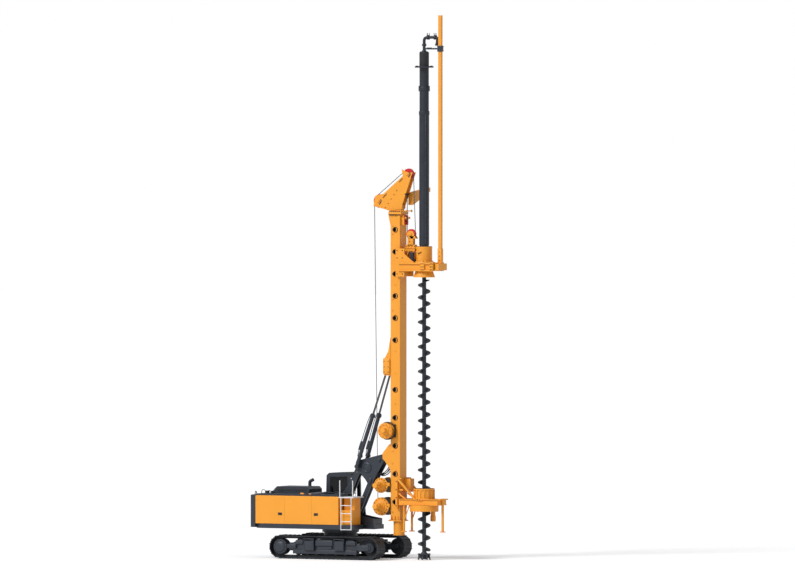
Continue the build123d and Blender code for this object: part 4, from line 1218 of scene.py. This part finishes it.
def house_details():
    """Hoops, caps and covers on the deck, black plates of painted shade for the hood's louvre slots, and the
    counterweight's lifting eyes.
    """
    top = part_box("deck")[1][2]
    hoops = []
    for x, y, width, tall in (
        (-2.82, -0.95, 0.16, 0.13), (-2.55, -0.98, 0.14, 0.1), (-2.82, 0.95, 0.16, 0.13), (0.2, -0.9, 0.2, 0.1),
    ):
        hoops.append(pipe([
            (x, y, top - 0.01), (x, y, top + tall), (x + width / 2, y, top + tall), (x + width, y, top + tall),
            (x + width, y, top - 0.01),
        ], 0.012))
    for x, y, r in ((-2.7, -0.72, 0.075), (-2.4, -0.85, 0.06), (-0.2, -0.8, 0.07)):
        cap = [(r, 0), (r, 0.05), (r * 1.15, 0.055), (r * 1.15, 0.08), (r * 0.8, 0.095)]
        hoops.append(turned(cap, (x, y, top), "Z", 24))
    keep("deck_hoops_and_caps", UPPER, "dark_paint", hoops)
    keep("deck_covers", UPPER, "dark_paint", [
        block((-0.95, -0.6, top), (-0.2, 0.1, top + 0.05), 0.015),
        block((-0.85, -1.12, top), (-0.35, -0.7, top + 0.035), 0.012),
        block((0.05, -0.6, top), (0.5, 0.25, top + 0.04), 0.012),
    ])
    keep("deck_brackets", UPPER, "yellow_paint", [
        block((-1.06, -1.19, top), (-0.92, -1.14, top + 0.05)),
        block((-0.7, -1.19, top), (-0.62, -1.14, top + 0.03)),
    ])
    low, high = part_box("hood")
    # painted shade: thin black plates on the hood's sides stand for the dark, shaded slots of its louvres
    keep("hood_louvre_painted_shade", "engine_hood", "black_paint", [
        block((x, side * high[1], high[2] - 0.17), (x + 0.055, side * (high[1] + 0.006), high[2] - 0.08), 0.002)
        for side in (-1, 1) for x in (low[0] + 0.2 + n * 0.1 for n in range(12))
    ])
    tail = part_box("counterweight")[1][2]
    keep("counterweight_eyes", UPPER, "black_paint", [
        pipe([
            (-3.2, side * 0.7 + dy, tail + dz)
            for dy, dz in ((-0.06, -0.02), (-0.06, 0.1), (0, 0.12), (0.06, 0.1), (0.06, -0.02))
        ], 0.016)
        for side in (-1, 1)
    ])


def seat():
    """The operator's seat: three cushions on a stepped base."""
    low, high = (Vector(corner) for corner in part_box("seat"))
    for name, start, end in (
        ("seat_cushion", (low.x + 0.08, low.y + 0.03, low.z + 0.34), (high.x - 0.005, high.y - 0.03, low.z + 0.47)),
        ("seat_back", (low.x + 0.02, low.y + 0.04, low.z + 0.44), (low.x + 0.14, high.y - 0.04, high.z - 0.2)),
        ("seat_headrest", (low.x + 0.03, low.y + 0.12, high.z - 0.2), (low.x + 0.12, high.y - 0.12, high.z - 0.01)),
    ):
        piece = keep(name, UPPER, "seat_fabric", [cushion_shape(start, end)], angle=60)
    piece = keep("seat_base", UPPER, "black_paint", [
        block((low.x + 0.12, low.y + 0.06, low.z), (high.x - 0.06, high.y - 0.06, low.z + 0.06)),
        block((low.x + 0.16, low.y + 0.12, low.z + 0.06), (high.x - 0.12, high.y - 0.12, low.z + 0.27)),
        block((low.x + 0.1, low.y + 0.05, low.z + 0.27), (high.x - 0.03, high.y - 0.05, low.z + 0.335)),
    ])
    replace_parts(piece, "seat")


def cab_details():
    """The door's handle, and the lamps, rail and wiper on the cab's front."""
    front, _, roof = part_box("cab")[1]
    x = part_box("cab_door")[0][0] + 0.72
    keep("cab_door_handle", "cab_side_door", "black_paint", [
        block((x - 0.07, 1.298, 1.98), (x + 0.07, 1.306, 2.05), 0.003),
        pipe([(x + dx, y, 2.015) for dx, y in ((-0.05, 1.3), (-0.045, 1.325), (0.045, 1.325), (0.05, 1.3))], 0.008),
    ])
    keep("cab_lamps", UPPER, "black_paint", [
        turned(mm("55 0, 60 50, 60 75, 50 80"), (front - 0.02, y, roof - 0.05), "X", 24)
        for y in (0.56, 1.16)
    ])
    keep("cab_rail", UPPER, "black_paint", [
        pipe([
            (front + out, 0.5, z) for out, z in ((0.0, 1.75), (0.045, 1.75), (0.045, 2.3), (0.045, 2.85), (0.0, 2.85))
        ], 0.013)
    ])
    keep("cab_wiper", UPPER, "black_paint", [
        pipe([(front + 0.004, 0.75, 1.95), (front + 0.02, 0.78, 2.3), (front + 0.012, 0.82, 2.7)], 0.008)
    ])


place_camera()
lay_floor()
light_studio()
paint_nodes()
for model in (
    wire_ropes, rope_windings, gooseneck, head_housing, tube_keys, auger_ends, carriage_details, hoist_block,
    guide_foot, head_plates, mast_head, mast_details, winch_covers, side_winch, cleaner, boom_details, track_details,
    door_handles, house_details, seat, cab_details,
):
    model()
